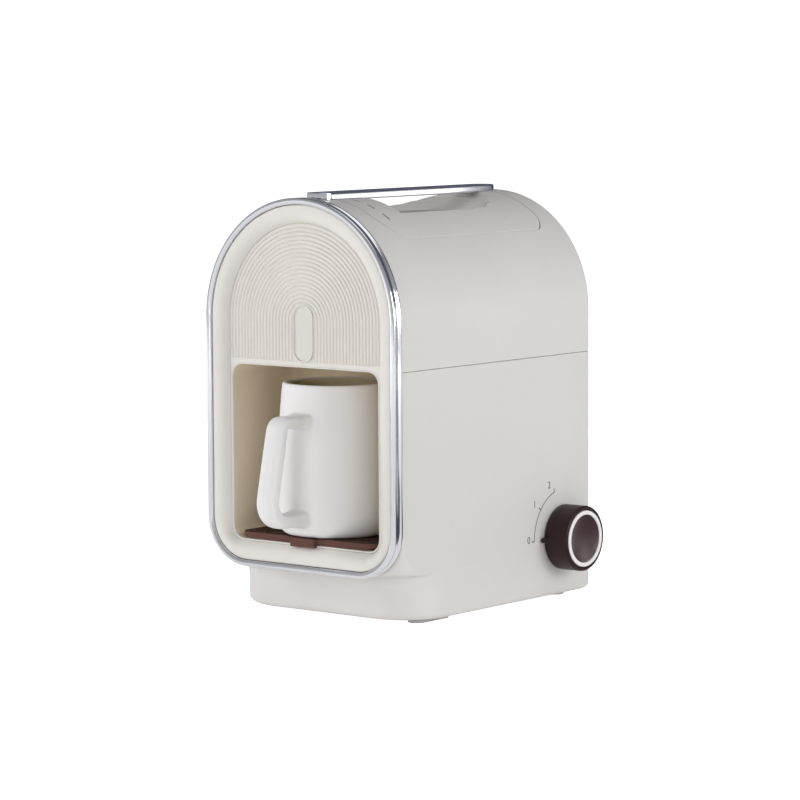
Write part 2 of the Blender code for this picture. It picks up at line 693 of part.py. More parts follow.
def badge_plate():
    height = BADGE_TOP - BADGE_BOTTOM
    outline = [(-v, (BADGE_TOP + BADGE_BOTTOM) / 2 + u)
               for u, v in stadium((0.0, 0.0), height, BADGE_WIDTH, 8)]
    back = FIELD_Y - FIT
    return place(plate("badge_plate", outline, back - BADGE_THICKNESS, back, "Y"), "white")


# ---- mug bay ------------------------------------------------------------------------------------
def bay_section(y, half, grow=0.0):
    """One upright (x, z) section of the bay, grown outwards by a wall."""
    return at_depth(rounded((-half - grow, BAY_FLOOR - grow), (half + grow, BAY_CEILING + grow),
                            (BAY_CORNER + grow,) * 4, 4), y)


def bay_rim(y):
    """The rim that fills the field between the bay's opening, the bezel and the ribbed panel."""
    half = BODY_HALF_WIDTH - FIELD_INSET - FIT
    round_foot = FIELD_CORNER - FIT
    return at_depth(rounded((-half, RING_BOTTOM + FIELD_INSET + FIT), (half, PANEL_BOTTOM - FIT),
                            (round_foot, round_foot, SLIVER, SLIVER), 4), y)


def bay_liner():
    def shape(grow):
        depth = BAY_BACK - BAY_STRAIGHT + grow
        closing = BAY_HALF_WIDTH - BAY_BACK_HALF_WIDTH
        for i in range(7):
            a = math.radians(15 * i)
            half = BAY_BACK_HALF_WIDTH + closing * math.cos(a)
            yield bay_section(BAY_STRAIGHT + depth * math.sin(a), half, grow)

    loops = list(shape(0.0))[::-1]
    loops.append(bay_section(FIELD_Y, BAY_HALF_WIDTH))
    loops.append(bay_rim(FIELD_Y))
    loops.append(bay_rim(FIELD_Y + FIELD_THICKNESS))
    loops.append(bay_section(SHELL_FRONT, BAY_HALF_WIDTH, BAY_WALL))
    loops += list(shape(BAY_WALL))
    liner = place(loft("bay_liner", loops), "liner")
    spout_hole = place(rod("spout_hole", (0.0, BREW_Y, BAY_CEILING - BAY_WALL),
                           (0.0, BREW_Y, BAY_CEILING + 2 * BAY_WALL), SPOUT_RADIUS + 2 * FIT, 20))
    return cut(liner, spout_hole)


def mat_outline(inset=0.0):
    half = BAY_HALF_WIDTH - MAT_EDGE_GAP - inset
    depth = BAY_BACK - BAY_STRAIGHT - MAT_EDGE_GAP - inset
    narrow = BAY_BACK_HALF_WIDTH
    tab, tip = TAB_WIDTH / 2, MAT_FRONT - TAB_REACH
    tab_corner, corner = 2.4 * MM, BAY_CORNER
    points = arc((-half + corner, MAT_FRONT + corner), corner, 180, 270, 4)
    points += [(-tab, MAT_FRONT)] + arc((-tab + tab_corner, tip + tab_corner), tab_corner,
                                        180, 270, 3)
    points += arc((tab - tab_corner, tip + tab_corner), tab_corner, 270, 360, 3)
    points += [(tab, MAT_FRONT)] + arc((half - corner, MAT_FRONT + corner), corner, 270, 360, 4)
    for i in range(7):
        a = math.radians(15 * i)
        points.append((narrow + (half - narrow) * math.cos(a),
                       BAY_STRAIGHT + depth * math.sin(a)))
    return points + [(-x, y) for x, y in reversed(points[-7:])]


def drip_mat():
    inset, rise = MAT_CHAMFER
    mat = loft("drip_mat", [at_height(mat_outline(inset), MAT_BOTTOM),
                            at_height(mat_outline(), MAT_BOTTOM + rise),
                            at_height(mat_outline(), MAT_BOTTOM + MAT_THICKNESS)])
    place(mat, "brown_rubber", MAT_SLIDE)
    under_tab = place(box("under_tab", (-TAB_WIDTH, MAT_FRONT - 2 * TAB_REACH, MAT_BOTTOM - WALL),
                          (TAB_WIDTH, MAT_FRONT - FIT,
                           MAT_BOTTOM + MAT_THICKNESS - TAB_THICKNESS)), holder=MAT_SLIDE)
    return cut(mat, under_tab)


# ---- lid ----------------------------------------------------------------------------------------
def lid_outline(grow=0.0):
    return rounded((-LID_HALF_WIDTH - grow, LID_FRONT - grow),
                   (LID_HALF_WIDTH + grow, LID_REAR + grow),
                   (LID_FRONT_CORNER + grow,) * 2 + (LID_REAR_CORNER + grow,) * 2)


def dome_prism(name, inset, front, rear):
    outline = dome_outline(inset, DOME_Z - WALL)
    return loft(name, [at_depth(outline, front), at_depth(outline, rear)])


def dish_outline(grow=0.0):
    """The finger dish in plan: a straight front, and a round rear end."""
    reach = DISH_RADIUS + grow
    return ([(-reach, DISH_FRONT - grow), (reach, DISH_FRONT - grow)]
            + arc((0.0, DISH_CENTRE), reach, 0, 180, 16))


def dish_cutters():
    """A trough that rises towards its sides, and a bowl with the same section behind it."""
    rise = CROWN_Z - DISH_FLOOR + FIT
    top = CROWN_Z + rise
    slope = [(DISH_RADIUS * i / 8, DISH_FLOOR + rise * (i / 8) ** 5) for i in range(8, 2, -1)]
    bowl = turned("dish_bowl", [(0.0, top), (DISH_RADIUS, top)] + slope + [(0.0, DISH_FLOOR)],
                  (0.0, DISH_CENTRE, 0.0), steps=32)
    section = ([(DISH_RADIUS, top)] + slope + [(-x, z) for x, z in reversed(slope)]
               + [(-DISH_RADIUS, top)])
    trough = loft("dish_trough", [at_depth(section, DISH_FRONT), at_depth(section, DISH_CENTRE)])
    return place(trough, holder=LID_HINGE), place(bowl, holder=LID_HINGE)


def top_lid():
    blank = place(plate("top_lid", lid_outline(), DOME_Z, CROWN_Z + WALL), "shell", LID_HINGE)
    skin = place(dome_prism("lid_skin", 0.0, 0.0, BODY_REAR), holder=LID_HINGE)
    core = place(dome_prism("lid_core", LID_WALL, -WALL, BODY_REAR + WALL), holder=LID_HINGE)
    tub = place(plate("lid_tub", dish_outline(LID_WALL), DISH_FLOOR - LID_WALL, CROWN_Z + WALL),
                holder=LID_HINGE)
    tub_skin = place(dome_prism("lid_tub_skin", FIT / 3, 0.0, BODY_REAR), holder=LID_HINGE)
    boolean(tub, "INTERSECT", tub_skin)
    boolean(blank, "INTERSECT", skin)
    cut(blank, core)
    join(blank, tub)
    cut(blank, *dish_cutters())
    arm = place(box("lid_arm", (-KNUCKLE_HALF_WIDTH, LID_REAR - HINGE_ARM_ROOT,
                              HINGE_Z - KNUCKLE_RADIUS),
                    (KNUCKLE_HALF_WIDTH, HINGE_Y, CROWN_Z - 2 * FIT)), holder=LID_HINGE)
    knuckle = place(rod("lid_knuckle", (-KNUCKLE_HALF_WIDTH, HINGE_Y, HINGE_Z),
                        (KNUCKLE_HALF_WIDTH, HINGE_Y, HINGE_Z), KNUCKLE_RADIUS, 24),
                    holder=LID_HINGE)
    reach = KNUCKLE_HALF_WIDTH + WALL
    pin_hole = place(rod("pin_hole_lid", (-reach, HINGE_Y, HINGE_Z), (reach, HINGE_Y, HINGE_Z),
                         HINGE_PIN_RADIUS + FIT, 12), holder=LID_HINGE)
    join(blank, arm, knuckle)
    cut(blank, pin_hole)
    for side in (-1, 1):
        for i in range(SLOTS_PER_SIDE):
            x = side * (SLOT_SPACING * (i + 1) + SLOT_LENGTH / 2)
            slot = plate(f"vent_{'left' if side < 0 else 'right'}_{i + 1}",
                         stadium((x, SLOT_Y), SLOT_LENGTH, SLOT_WIDTH, 3), DECK_TOP,
                         CROWN_Z + WALL)
            cut(blank, place(slot, holder=LID_HINGE))
    for y in handle_screw_places():
        hole = rod(f"handle_hole_{round(y / MM)}", (0.0, y, CROWN_Z - 3 * LID_WALL),
                   (0.0, y, CROWN_Z + WALL), SCREW_RADIUS + FIT, 10)
        cut(blank, place(hole, holder=LID_HINGE))
    return blank


def handle_screw_places():
    """Where the bar is screwed to the lid, along Y."""
    front = (LID_FRONT + DISH_FRONT) / 2
    rear = DISH_CENTRE + DISH_RADIUS + LID_WALL + FIT + SCREW_HEAD_RADIUS
    return [front, rear]


def hinge_pin():
    reach = HINGE_PIN_HALF_LENGTH
    return place(rod("hinge_pin", (-reach, HINGE_Y, HINGE_Z), (reach, HINGE_Y, HINGE_Z),
                     HINGE_PIN_RADIUS, 12), "steel")


def lid_handle():
    """A flat bright bar lying on the crown, with its lower edges trimmed to the dome."""
    top = CROWN_Z + BAR_RISE
    half = BAR_WIDTH / 2
    outline = stadium((0.0, 0.0), BAR_REAR - BAR_FRONT, BAR_WIDTH, 8)
    middle = (BAR_FRONT + BAR_REAR) / 2
    outline = [(-v, middle + u) for u, v in outline]
    bar = plate("lid_handle", outline, top - BAR_THICKNESS, top)
    place(bar, "chrome", LID_HINGE, sharp=50)
    bevel(bar, BAR_EDGE, 2)
    for name, front, rear in (("front", BAR_FRONT - half, DISH_FRONT + FIT),
                              ("rear", DISH_CENTRE + DISH_RADIUS - 2 * WALL, BAR_REAR + half)):
        rest = place(dome_prism(f"bar_seat_{name}", -FIT, front, rear), holder=LID_HINGE)
        cut(bar, rest)
    for y in handle_screw_places():
        hole = rod(f"bar_hole_{round(y / MM)}", (0.0, y, CROWN_Z - WALL),
                   (0.0, y, CROWN_Z + BAR_RISE - BAR_EDGE), SCREW_RADIUS + FIT, 10)
        cut(bar, place(hole, holder=LID_HINGE))
    return bar


def handle_screws():
    for name, y in zip(("front", "rear"), handle_screw_places()):
        head = CROWN_Z - LID_WALL - FIT
        tip = CROWN_Z + BAR_RISE - BAR_EDGE - FIT
        profile = [(0.0, tip), (SCREW_RADIUS, tip), (SCREW_RADIUS, head),
                   (SCREW_HEAD_RADIUS, head), (SCREW_HEAD_RADIUS, head - SCREW_HEAD),
                   (0.0, head - SCREW_HEAD)]
        screw = turned(f"handle_screw_{name}", profile, (0.0, y, 0.0), steps=12)
        place(screw, "steel", LID_HINGE)


# ---- deck, tank and filter ----------------------------------------------------------------------
def top_deck():
    half = math.sqrt((BODY_HALF_WIDTH - WALL - FIT) ** 2 - (DECK_TOP - DOME_Z) ** 2)
    outline = plan(half, SHELL_FRONT + WALL + FIT, BODY_REAR - WALL - FIT, SLIVER, SLIVER)
    deck = place(plate("top_deck", outline, DECK_TOP - DECK_THICKNESS, DECK_TOP), "white")
    low, high = DECK_TOP - 2 * DECK_THICKNESS, DECK_TOP + DECK_THICKNESS
    filter_hole = rod("filter_hole", (0.0, BREW_Y, low), (0.0, BREW_Y, high),
                      FILTER_RADIUS + FIT, 32)
    riser_hole = rod("riser_hole", (0.0, RISER_Y, low), (0.0, RISER_Y, high),
                     RISER_RADIUS + RISER_STUB_WALL + FIT, 16)
    tank_hole = plate("tank_hole", tank_outline(FIT), low, high)
    return cut(deck, place(filter_hole), place(riser_hole), place(tank_hole))


def tank_outline(grow=0.0):
    return rounded((-TANK_HALF_WIDTH - grow, TANK_FRONT - grow),
                   (TANK_HALF_WIDTH + grow, TANK_REAR + grow), (TANK_CORNER + grow,) * 4, 4)


def water_tank():
    rim_low = DECK_TOP + FIT
    rim_high = rim_low + RIM_THICKNESS
    loops = [at_height(tank_outline(), TANK_BOTTOM), at_height(tank_outline(), rim_low),
             at_height(tank_outline(RIM_WIDTH), rim_low),
             at_height(tank_outline(RIM_WIDTH), rim_high),
             at_height(tank_outline(-TANK_WALL), rim_high),
             at_height(tank_outline(-TANK_WALL), TANK_BOTTOM + TANK_WALL)]
    tank = place(loft("water_tank", loops), "clear")
    spigot = place(rod("tank_spigot", (HOSE_X, HOSE_Y, TANK_BOTTOM - SPIGOT_LENGTH),
                       (HOSE_X, HOSE_Y, TANK_BOTTOM + TANK_WALL / 2), HOSE_RADIUS, 12))
    outlet = place(rod("tank_outlet", (HOSE_X, HOSE_Y, TANK_BOTTOM - 1.5 * SPIGOT_LENGTH),
                       (HOSE_X, HOSE_Y, TANK_BOTTOM + 2 * TANK_WALL), HOSE_RADIUS / 2, 12))
    join(tank, spigot)
    return cut(tank, outlet)


def basket_profile():
    """The filter basket, from its rim down the outside and back up the inside."""
    rim_low = DECK_TOP + FIT
    rim_high = rim_low + RIM_THICKNESS
    radius, wall = FILTER_RADIUS, FILTER_WALL
    knee = DECK_TOP - 0.45 * FILTER_DEPTH
    floor = DECK_TOP - FILTER_DEPTH
    neck = 2.4 * SPOUT_RADIUS
    bore = SPOUT_RADIUS / 2
    tip = BAY_CEILING - SPOUT_BELOW_CEILING
    return [(radius + RIM_WIDTH, rim_high), (radius + RIM_WIDTH, rim_low), (radius, rim_low),
            (radius, knee), (neck, floor), (SPOUT_RADIUS, floor), (SPOUT_RADIUS, tip),
            (bore, tip), (bore, floor + wall), (neck - wall / 2, floor + wall),
            (radius - wall, knee + wall / 2), (radius - wall, rim_high)]


def filter_basket():
    return place(turned("filter_basket", basket_profile(), (0.0, BREW_Y, 0.0)), "white")


def permanent_filter():
    """A sieve that hangs inside the basket with a small gap all round."""
    outer = FILTER_RADIUS - FILTER_WALL - SIEVE_GAP
    knee = DECK_TOP - 0.45 * FILTER_DEPTH + FILTER_WALL / 2 + SIEVE_GAP
    floor = DECK_TOP - FILTER_DEPTH + 4 * FILTER_WALL
    foot = 2.4 * SPOUT_RADIUS
    wall = SIEVE_WALL
    profile = [(0.0, floor + wall), (foot - wall, floor + wall), (outer - wall, knee + wall / 2),
               (outer - wall, DECK_TOP), (outer, DECK_TOP), (outer, knee), (foot, floor),
               (0.0, floor)]
    return place(turned("permanent_filter", profile, (0.0, BREW_Y, 0.0)), "steel")


def shower_head():
    low, high = SHOWER_BOTTOM, SHOWER_BOTTOM + SHOWER_THICKNESS
    half = SHOWER_ARM_WIDTH / 2
    head = place(rod("shower_head", (0.0, BREW_Y, low), (0.0, BREW_Y, high), SHOWER_RADIUS, 24),
                 "silicone")
    arm = place(box("shower_arm", (-half, BREW_Y, low + FIT), (half, RISER_Y, high - FIT)))
    stub = place(rod("shower_stub", (0.0, RISER_Y, DECK_TOP - DECK_THICKNESS),
                     (0.0, RISER_Y, high), RISER_RADIUS + RISER_STUB_WALL, 16))
    return join(head, arm, stub)


# ---- water path and electrics -------------------------------------------------------------------
def riser_tube():
    y0, z0 = HEATER_LOW[1:]
    outlet_z = (z0 + HEATER_HIGH[2]) / 2
    start = y0 - FIT - RISER_RADIUS / 2
    turn = start - RISER_Y
    points = [(0.0, y0 - FIT, outlet_z)]
    points += [(0.0, start - turn * math.sin(a), outlet_z + turn * (1 - math.cos(a)))
               for a in (math.radians(18 * i) for i in range(6))]
    points.append((0.0, RISER_Y, DECK_TOP - DECK_THICKNESS - FIT))
    return place(tube("riser_tube", points, RISER_RADIUS), "silicone")


def inlet_hoses():
    top = TANK_BOTTOM - SPIGOT_LENGTH - FIT
    upper = [(HOSE_X, HOSE_Y, top), (HOSE_X, HOSE_Y, VALVE_BOTTOM + VALVE_LENGTH + FIT)]
    lower = [(HOSE_X, HOSE_Y, VALVE_BOTTOM - FIT), (HOSE_X, HOSE_Y, HEATER_HIGH[2] + FIT)]
    place(tube("inlet_hose_upper", upper, HOSE_RADIUS), "silicone")
    place(tube("inlet_hose_lower", lower, HOSE_RADIUS), "silicone")
    radius, base = 1.6 * HOSE_RADIUS, VALVE_BOTTOM
    profile = [(0.0, base + VALVE_LENGTH), (HOSE_RADIUS, base + VALVE_LENGTH),
               (radius, base + 0.7 * VALVE_LENGTH), (radius, base + 0.3 * VALVE_LENGTH),
               (HOSE_RADIUS, base), (0.0, base)]
    place(turned("check_valve", profile, (HOSE_X, HOSE_Y, 0.0), steps=16), "white")


def heater():
    block = place(box("heater_block", HEATER_LOW, HEATER_HIGH), "steel")
    bevel(block, HEATER_ROUND, 2)
    top = HEATER_HIGH[2] + FIT
    y = (HEATER_LOW[1] + HEATER_HIGH[1]) / 2
    place(rod("thermostat", (0.0, y, top), (0.0, y, top + THERMOSTAT_HEIGHT),
              THERMOSTAT_RADIUS, 20), "black")
    start = Vector((FUSE_START, y + FUSE_SHIFT, top + FUSE_RADIUS))
    place(rod("thermal_fuse", start, start + Vector((FUSE_LENGTH, 0.0, 0.0)),
              FUSE_RADIUS, 12), "white")


def rotary_switch():
    outer = BODY_HALF_WIDTH - WALL - FIT
    length, depth, height = SWITCH_SIZE
    switch = place(box("rotary_switch", (outer - length, KNOB_Y - depth / 2, KNOB_Z - height / 2),
                       (outer, KNOB_Y + depth / 2, KNOB_Z + height / 2)), "black")
    bore = place(rod("switch_bore", (outer - length / 2, KNOB_Y, KNOB_Z),
                     (outer + WALL, KNOB_Y, KNOB_Z), SHAFT_RADIUS + 2 * FIT, 20))
    return cut(switch, bore)


def terminal_block():
    length, depth, height = TERMINAL_SIZE
    x, y = GLAND_X + TERMINAL_SHIFT, BODY_REAR - TERMINAL_REAR_INSET
    z = UNDERSIDE_TOP + FIT
    block = box("terminal_block", (x, y - depth, z), (x + length, y, z + height))
    return bevel(place(block, "white"), TERMINAL_ROUND, 1)


def cord_gland():
    """A bush through the back wall where the mains lead would leave."""
    inner = BODY_REAR - WALL - GLAND_LENGTH
    flange = BODY_REAR + FIT
    bore, wide = GLAND_BORE, GLAND_RADIUS + GLAND_LIP
    profile = [(bore, GLAND_REAR), (wide - GLAND_EDGE, GLAND_REAR), (wide, GLAND_REAR - GLAND_EDGE),
               (wide, flange), (GLAND_RADIUS, flange), (GLAND_RADIUS, inner), (bore, inner)]
    return place(turned("cord_gland", profile, (GLAND_X, 0.0, GLAND_Z), "Y", 24), "black")


# ---- knob ---------------------------------------------------------------------------------------
def knob():
    back = BODY_HALF_WIDTH + KNOB_GAP
    face = KNOB_FACE_X - KNOB_RING_PROUD
    seat = face - KNOB_DISH - KNOB_SEAT
    ring_in = KNOB_RING_RADIUS - KNOB_RING_WIDTH
    bore = SHAFT_RADIUS + FIT
    bore_end = face - SHAFT_COVER
    at = (0.0, KNOB_Y, KNOB_Z)
    body = [(0.0, seat), (KNOB_RING_RADIUS + FIT, seat), (KNOB_RING_RADIUS + FIT, face),
            (KNOB_RADIUS - KNOB_SHOULDER, face), (KNOB_RADIUS - 0.3 * KNOB_SHOULDER,
                                                  face - 0.3 * KNOB_SHOULDER),
            (KNOB_RADIUS, face - KNOB_SHOULDER), (KNOB_RADIUS, back), (bore, back),
            (bore, bore_end), (0.0, bore_end)]
    knob_body = place(turned("knob_body", body, at, "X", 36), "knob", KNOB_TURN)
    tip = KNOB_Y - KNOB_RADIUS - POINTER_REACH
    root = KNOB_Y - KNOB_RADIUS + POINTER_ROOT

    def section(y, half, height):
        low, high = back + FIT, back + height
        return [(low, y, KNOB_Z - half), (high, y, KNOB_Z - half),
                (high, y, KNOB_Z + half), (low, y, KNOB_Z + half)]

    tongue = loft("knob_pointer", [section(tip, POINTER_HALF_WIDTH / 2, POINTER_TIP_HEIGHT),
                                   section(root, POINTER_HALF_WIDTH, POINTER_ROOT_HEIGHT)])
    join(knob_body, place(tongue, holder=KNOB_TURN))
    soft = KNOB_RING_ROUND
    ring = [(ring_in, KNOB_FACE_X - soft), (ring_in + soft, KNOB_FACE_X),
            (KNOB_RING_RADIUS - soft, KNOB_FACE_X), (KNOB_RING_RADIUS, KNOB_FACE_X - soft),
            (KNOB_RING_RADIUS, seat + FIT), (ring_in, seat + FIT)]
    place(turned("knob_ring", ring, at, "X", 36), "white", KNOB_TURN)
    edge = ring_in - FIT
    cap = [(0.0, face - KNOB_DISH)]
    cap += [(edge * i / 4, face - KNOB_DISH * (1 - (i / 4) ** 2)) for i in range(1, 5)]
    cap += [(edge, seat + FIT), (0.0, seat + FIT)]
    place(turned("knob_cap", cap, at, "X", 36), "knob", KNOB_TURN)
    inner = BODY_HALF_WIDTH - WALL - FIT - SWITCH_SIZE[0] / 2 + FIT
    place(rod("knob_shaft", (inner, KNOB_Y, KNOB_Z), (bore_end - FIT, KNOB_Y, KNOB_Z),
              SHAFT_RADIUS, 16), "steel", KNOB_TURN)


# ---- mug ----------------------------------------------------------------------------------------
def mug_radius(share):
    """The outer radius from the belly (0) up to the rim (1)."""
    return MUG_BELLY_RADIUS + (MUG_RIM_RADIUS - MUG_BELLY_RADIUS) * share ** 1.6


def mug():
    base, rim = MUG_BASE, MUG_BASE + MUG_HEIGHT
    belly = base + MUG_BELLY_HEIGHT
    steps = 6
    outside = [(mug_radius(i / steps), belly + (rim - belly) * i / steps)
               for i in range(steps, -1, -1)]
    for i in range(1, 6):
        a = math.radians(15 + 15 * i)
        outside.append((MUG_FOOT_RADIUS + (MUG_BELLY_RADIUS - MUG_FOOT_RADIUS) * math.cos(a),
                        base + MUG_BELLY_HEIGHT * (1 - math.sin(a))))
    inside = [(0.0, base + MUG_FLOOR), (0.7 * MUG_FOOT_RADIUS, base + MUG_FLOOR)]
    inside += [(mug_radius(i / steps) - MUG_WALL, belly + (rim - belly) * i / steps)
               for i in range(steps)]
    inside.append((MUG_RIM_RADIUS - 0.8 * MUG_WALL, rim - MUG_WALL / 6))
    rim_top = [(MUG_RIM_RADIUS - MUG_WALL / 2, rim)]
    outside[0] = (MUG_RIM_RADIUS, rim - MUG_WALL / 3)
    profile = inside + rim_top + outside + [(0.0, base)]
    body = place(turned("mug", profile, (0.0, MUG_Y, 0.0), steps=40), "ceramic", MUG_SLIDE)
    half = MUG_HANDLE_WIDTH / 2
    handle = mug_handle_outline()
    ear = loft("mug_ear", [[(-half, y, z) for y, z in handle], [(half, y, z) for y, z in handle]])
    hole = loft("mug_ear_hole", [[(-2 * half, y, z) for y, z in mug_handle_hole()],
                                 [(2 * half, y, z) for y, z in mug_handle_hole()]])
    place(ear, holder=MUG_SLIDE)
    place(hole, holder=MUG_SLIDE)
    cut(ear, hole)
    bevel(ear, MUG_HANDLE_EDGE, 2, 50)
    return join(body, ear)


def smooth_corners(corners, steps=4):
    """Round a polygon's corners: each corner is (y, z, radius)."""
    points = []
    count = len(corners)
    for i, (y, z, radius) in enumerate(corners):
        here = Vector((y, z))
        before = Vector(corners[i - 1][:2])
        after = Vector(corners[(i + 1) % count][:2])
        if not radius:
            points.append((y, z))
            continue
        into, out = (before - here).normalized(), (after - here).normalized()
        reach = radius / math.tan(into.angle(out) / 2)
        centre = here + (into + out).normalized() * radius / math.sin(into.angle(out) / 2)
        start, end = here + into * reach - centre, here + out * reach - centre
        for k in range(steps + 1):
            step = start.normalized().slerp(end.normalized(), k / steps) * radius
            points.append((centre.x + step.x, centre.y + step.y))
    return points


def mug_handle_outline():
    """The handle's outside in (y, z): an upright grip that leans back to the top."""
    low, high = MUG_BASE + MUG_HANDLE_LOW, MUG_BASE + MUG_HANDLE_HIGH
    root_low = MUG_Y - MUG_FOOT_RADIUS + MUG_WALL / 3
    root_high = MUG_Y - MUG_RIM_RADIUS + MUG_WALL / 2
    top_round, foot_round = MUG_HANDLE_ROUNDS
    return smooth_corners([
        (root_low, low, 0.0), (root_low, low + MUG_HANDLE_ROOT_HEIGHT, 0.0),
        (root_high, high - MUG_HANDLE_ROOT_HEIGHT, 0.0), (root_high, high, 0.0),
        (MUG_GRIP_FRONT + MUG_HANDLE_LEAN, high, top_round), (MUG_GRIP_FRONT, low, foot_round)])


def mug_handle_hole():
    """The finger opening inside the handle's outline, thinner above and below than in front."""
    front = MUG_GRIP_FRONT + MUG_HANDLE_GRIP
    low = MUG_BASE + MUG_HANDLE_LOW + 0.9 * MUG_HANDLE_GRIP
    high = MUG_BASE + MUG_HANDLE_HIGH - 0.7 * MUG_HANDLE_GRIP
    back = MUG_Y - MUG_RIM_RADIUS + MUG_WALL / 3
    top_round, foot_round = MUG_HANDLE_HOLE_ROUNDS
    return smooth_corners([
        (back, low, 0.0), (back, high, 0.0), (front + MUG_HANDLE_LEAN, high, top_round),
        (front, low, foot_round)])


# ---- build --------------------------------------------------------------------------------------
clear_scene()
PARTS = new_collection("drip_coffee_maker")
CUTTERS = new_collection("cutters")
MACHINE_X = (BODY_HALF_WIDTH + RING_PROUD - KNOB_FACE_X) / 2
MACHINE_Y = -(GLAND_REAR + min(y for y, z in mug_handle_outline())) / 2
MACHINE = empty("machine", (MACHINE_X, MACHINE_Y, 0.0))
LID_HINGE = empty("lid_hinge", (0.0, HINGE_Y, HINGE_Z), MACHINE)
KNOB_TURN = empty("knob_turn", (BODY_HALF_WIDTH, KNOB_Y, KNOB_Z), MACHINE)
MAT_SLIDE = empty("mat_slide", (0.0, MAT_FRONT, MAT_BOTTOM), MACHINE)
MUG_SLIDE = empty("mug_slide", (0.0, MUG_Y, MUG_BASE), MACHINE)

for make in (lower_shell, upper_shell, base_plate, base_screws, feet, chrome_ring, front_bezel,
             ribbed_panel, badge_plate, bay_liner, drip_mat, top_lid, hinge_pin, lid_handle,
             handle_screws, top_deck, water_tank, filter_basket, permanent_filter, shower_head,
             riser_tube, inlet_hoses, heater, rotary_switch, terminal_block, cord_gland, knob,
             mug):
    make()
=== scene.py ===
import math

import bmesh
import bpy
from mathutils import Matrix, Vector
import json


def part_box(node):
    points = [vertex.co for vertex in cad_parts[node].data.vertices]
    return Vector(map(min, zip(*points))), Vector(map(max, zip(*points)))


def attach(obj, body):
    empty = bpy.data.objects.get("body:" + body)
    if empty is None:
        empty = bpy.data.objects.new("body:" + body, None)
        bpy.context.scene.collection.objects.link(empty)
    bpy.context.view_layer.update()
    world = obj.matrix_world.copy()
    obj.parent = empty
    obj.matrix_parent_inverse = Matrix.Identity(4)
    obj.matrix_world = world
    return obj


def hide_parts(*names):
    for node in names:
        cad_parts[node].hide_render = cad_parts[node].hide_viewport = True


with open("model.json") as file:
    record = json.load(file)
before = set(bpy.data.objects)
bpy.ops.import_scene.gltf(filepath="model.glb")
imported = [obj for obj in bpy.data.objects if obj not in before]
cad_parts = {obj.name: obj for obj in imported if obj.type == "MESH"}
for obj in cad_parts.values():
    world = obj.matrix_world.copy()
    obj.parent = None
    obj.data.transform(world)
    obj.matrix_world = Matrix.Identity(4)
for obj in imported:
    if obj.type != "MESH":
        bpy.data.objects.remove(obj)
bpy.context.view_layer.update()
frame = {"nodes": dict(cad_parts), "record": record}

# ---- the machine's own frame --------------------------------------------------------------------
# Shapes below are written in millimetres: X from the plane of symmetry, Y from the front of the
# trim ring towards the back, Z from the worktop.
HALF = 75.8          # half width of the body, and the dome's radius
REAR = 206.3
DOME = 188.4         # height of the dome's axis
CROWN = DOME + HALF
SEAM = 159.8
WALL = 2.6
FIT = 0.3
shell_low, shell_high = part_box("lower_shell")
OFFSET = Vector(((shell_low.x + shell_high.x) * 500, shell_high.y * 1000 - REAR, 0.0))

RING_BOTTOM, RING_CORNER, RING_DEPTH, RING_WIDTH, RING_PROUD = 32.1, 30.0, 8.2, 2.8, 1.2
SHELL_FRONT = RING_DEPTH + FIT
PLINTH_FRONT = 20.0
FOOT = 2.5
BEZEL_START, BEZEL_WIDTH, BEZEL_TOP = RING_WIDTH + FIT, 11.5, 1.3
FIELD, FIELD_CORNER, FIELD_INSET = 6.1, 9.5, BEZEL_START + BEZEL_WIDTH
PANEL_BOTTOM = 163.0
RIB_PITCH, RIB_HEIGHT = 2.6, 0.8
BADGE = (162.4, 198.7, 16.5)               # bottom, top and width
BAY_HALF, BAY_FLOOR, BAY_CEILING, BAY_CORNER = 59.5, 48.0, 159.1, 8.0
BAY_STRAIGHT, BAY_BACK, BAY_BACK_HALF, BAY_WALL = 58.0, 98.0, 12.0, 1.8
MAT_Z, MAT_THICK, MAT_FRONT = 48.3, 3.9, 6.8
LID = (55.3, 26.5, 186.6, 20.0, 12.0)      # half width, front, rear, front and rear corners
DISH_FRONT, DISH_Y, DISH_R, DISH_FLOOR = 57.5, 126.0, 49.0, 252.5
HINGE_Y, HINGE_Z = 198.0, CROWN - 2.0
BAR_FRONT, BAR_REAR, BAR_HALF, BAR_TOP, BAR_THICK = 15.0, 196.0, 9.0, CROWN + 3.9, 5.0
DECK = 234.5                               # top of the deck under the lid
RIPPLE_PITCH, RIPPLE_HEIGHT = 3.4, 1.4     # rings pressed into the lid's dish
BREW_Y = 58.0
KNOB_Y, KNOB_Z, KNOB_R = 176.0, 40.5, 21.3
KNOB_BACK, KNOB_FACE = HALF + 0.6, HALF + 18.2
MUG_Y, MUG_BASE, MUG_HEIGHT = 36.5, 52.5, 96.3
MUG_RIM, MUG_BELLY, MUG_FOOT, MUG_WALL = 33.7, 38.4, 30.0, 3.6
EAR_REACH, EAR_TOP, EAR_BOTTOM = 35.6, 126.4, 65.05
GLAND_X, GLAND_Z = -50.0, 28.0
DIAL_RADIUS, DIAL_LINE, DIAL_SWEEP = 31.3, 0.6, 72.5
ARCH_STEPS = 128


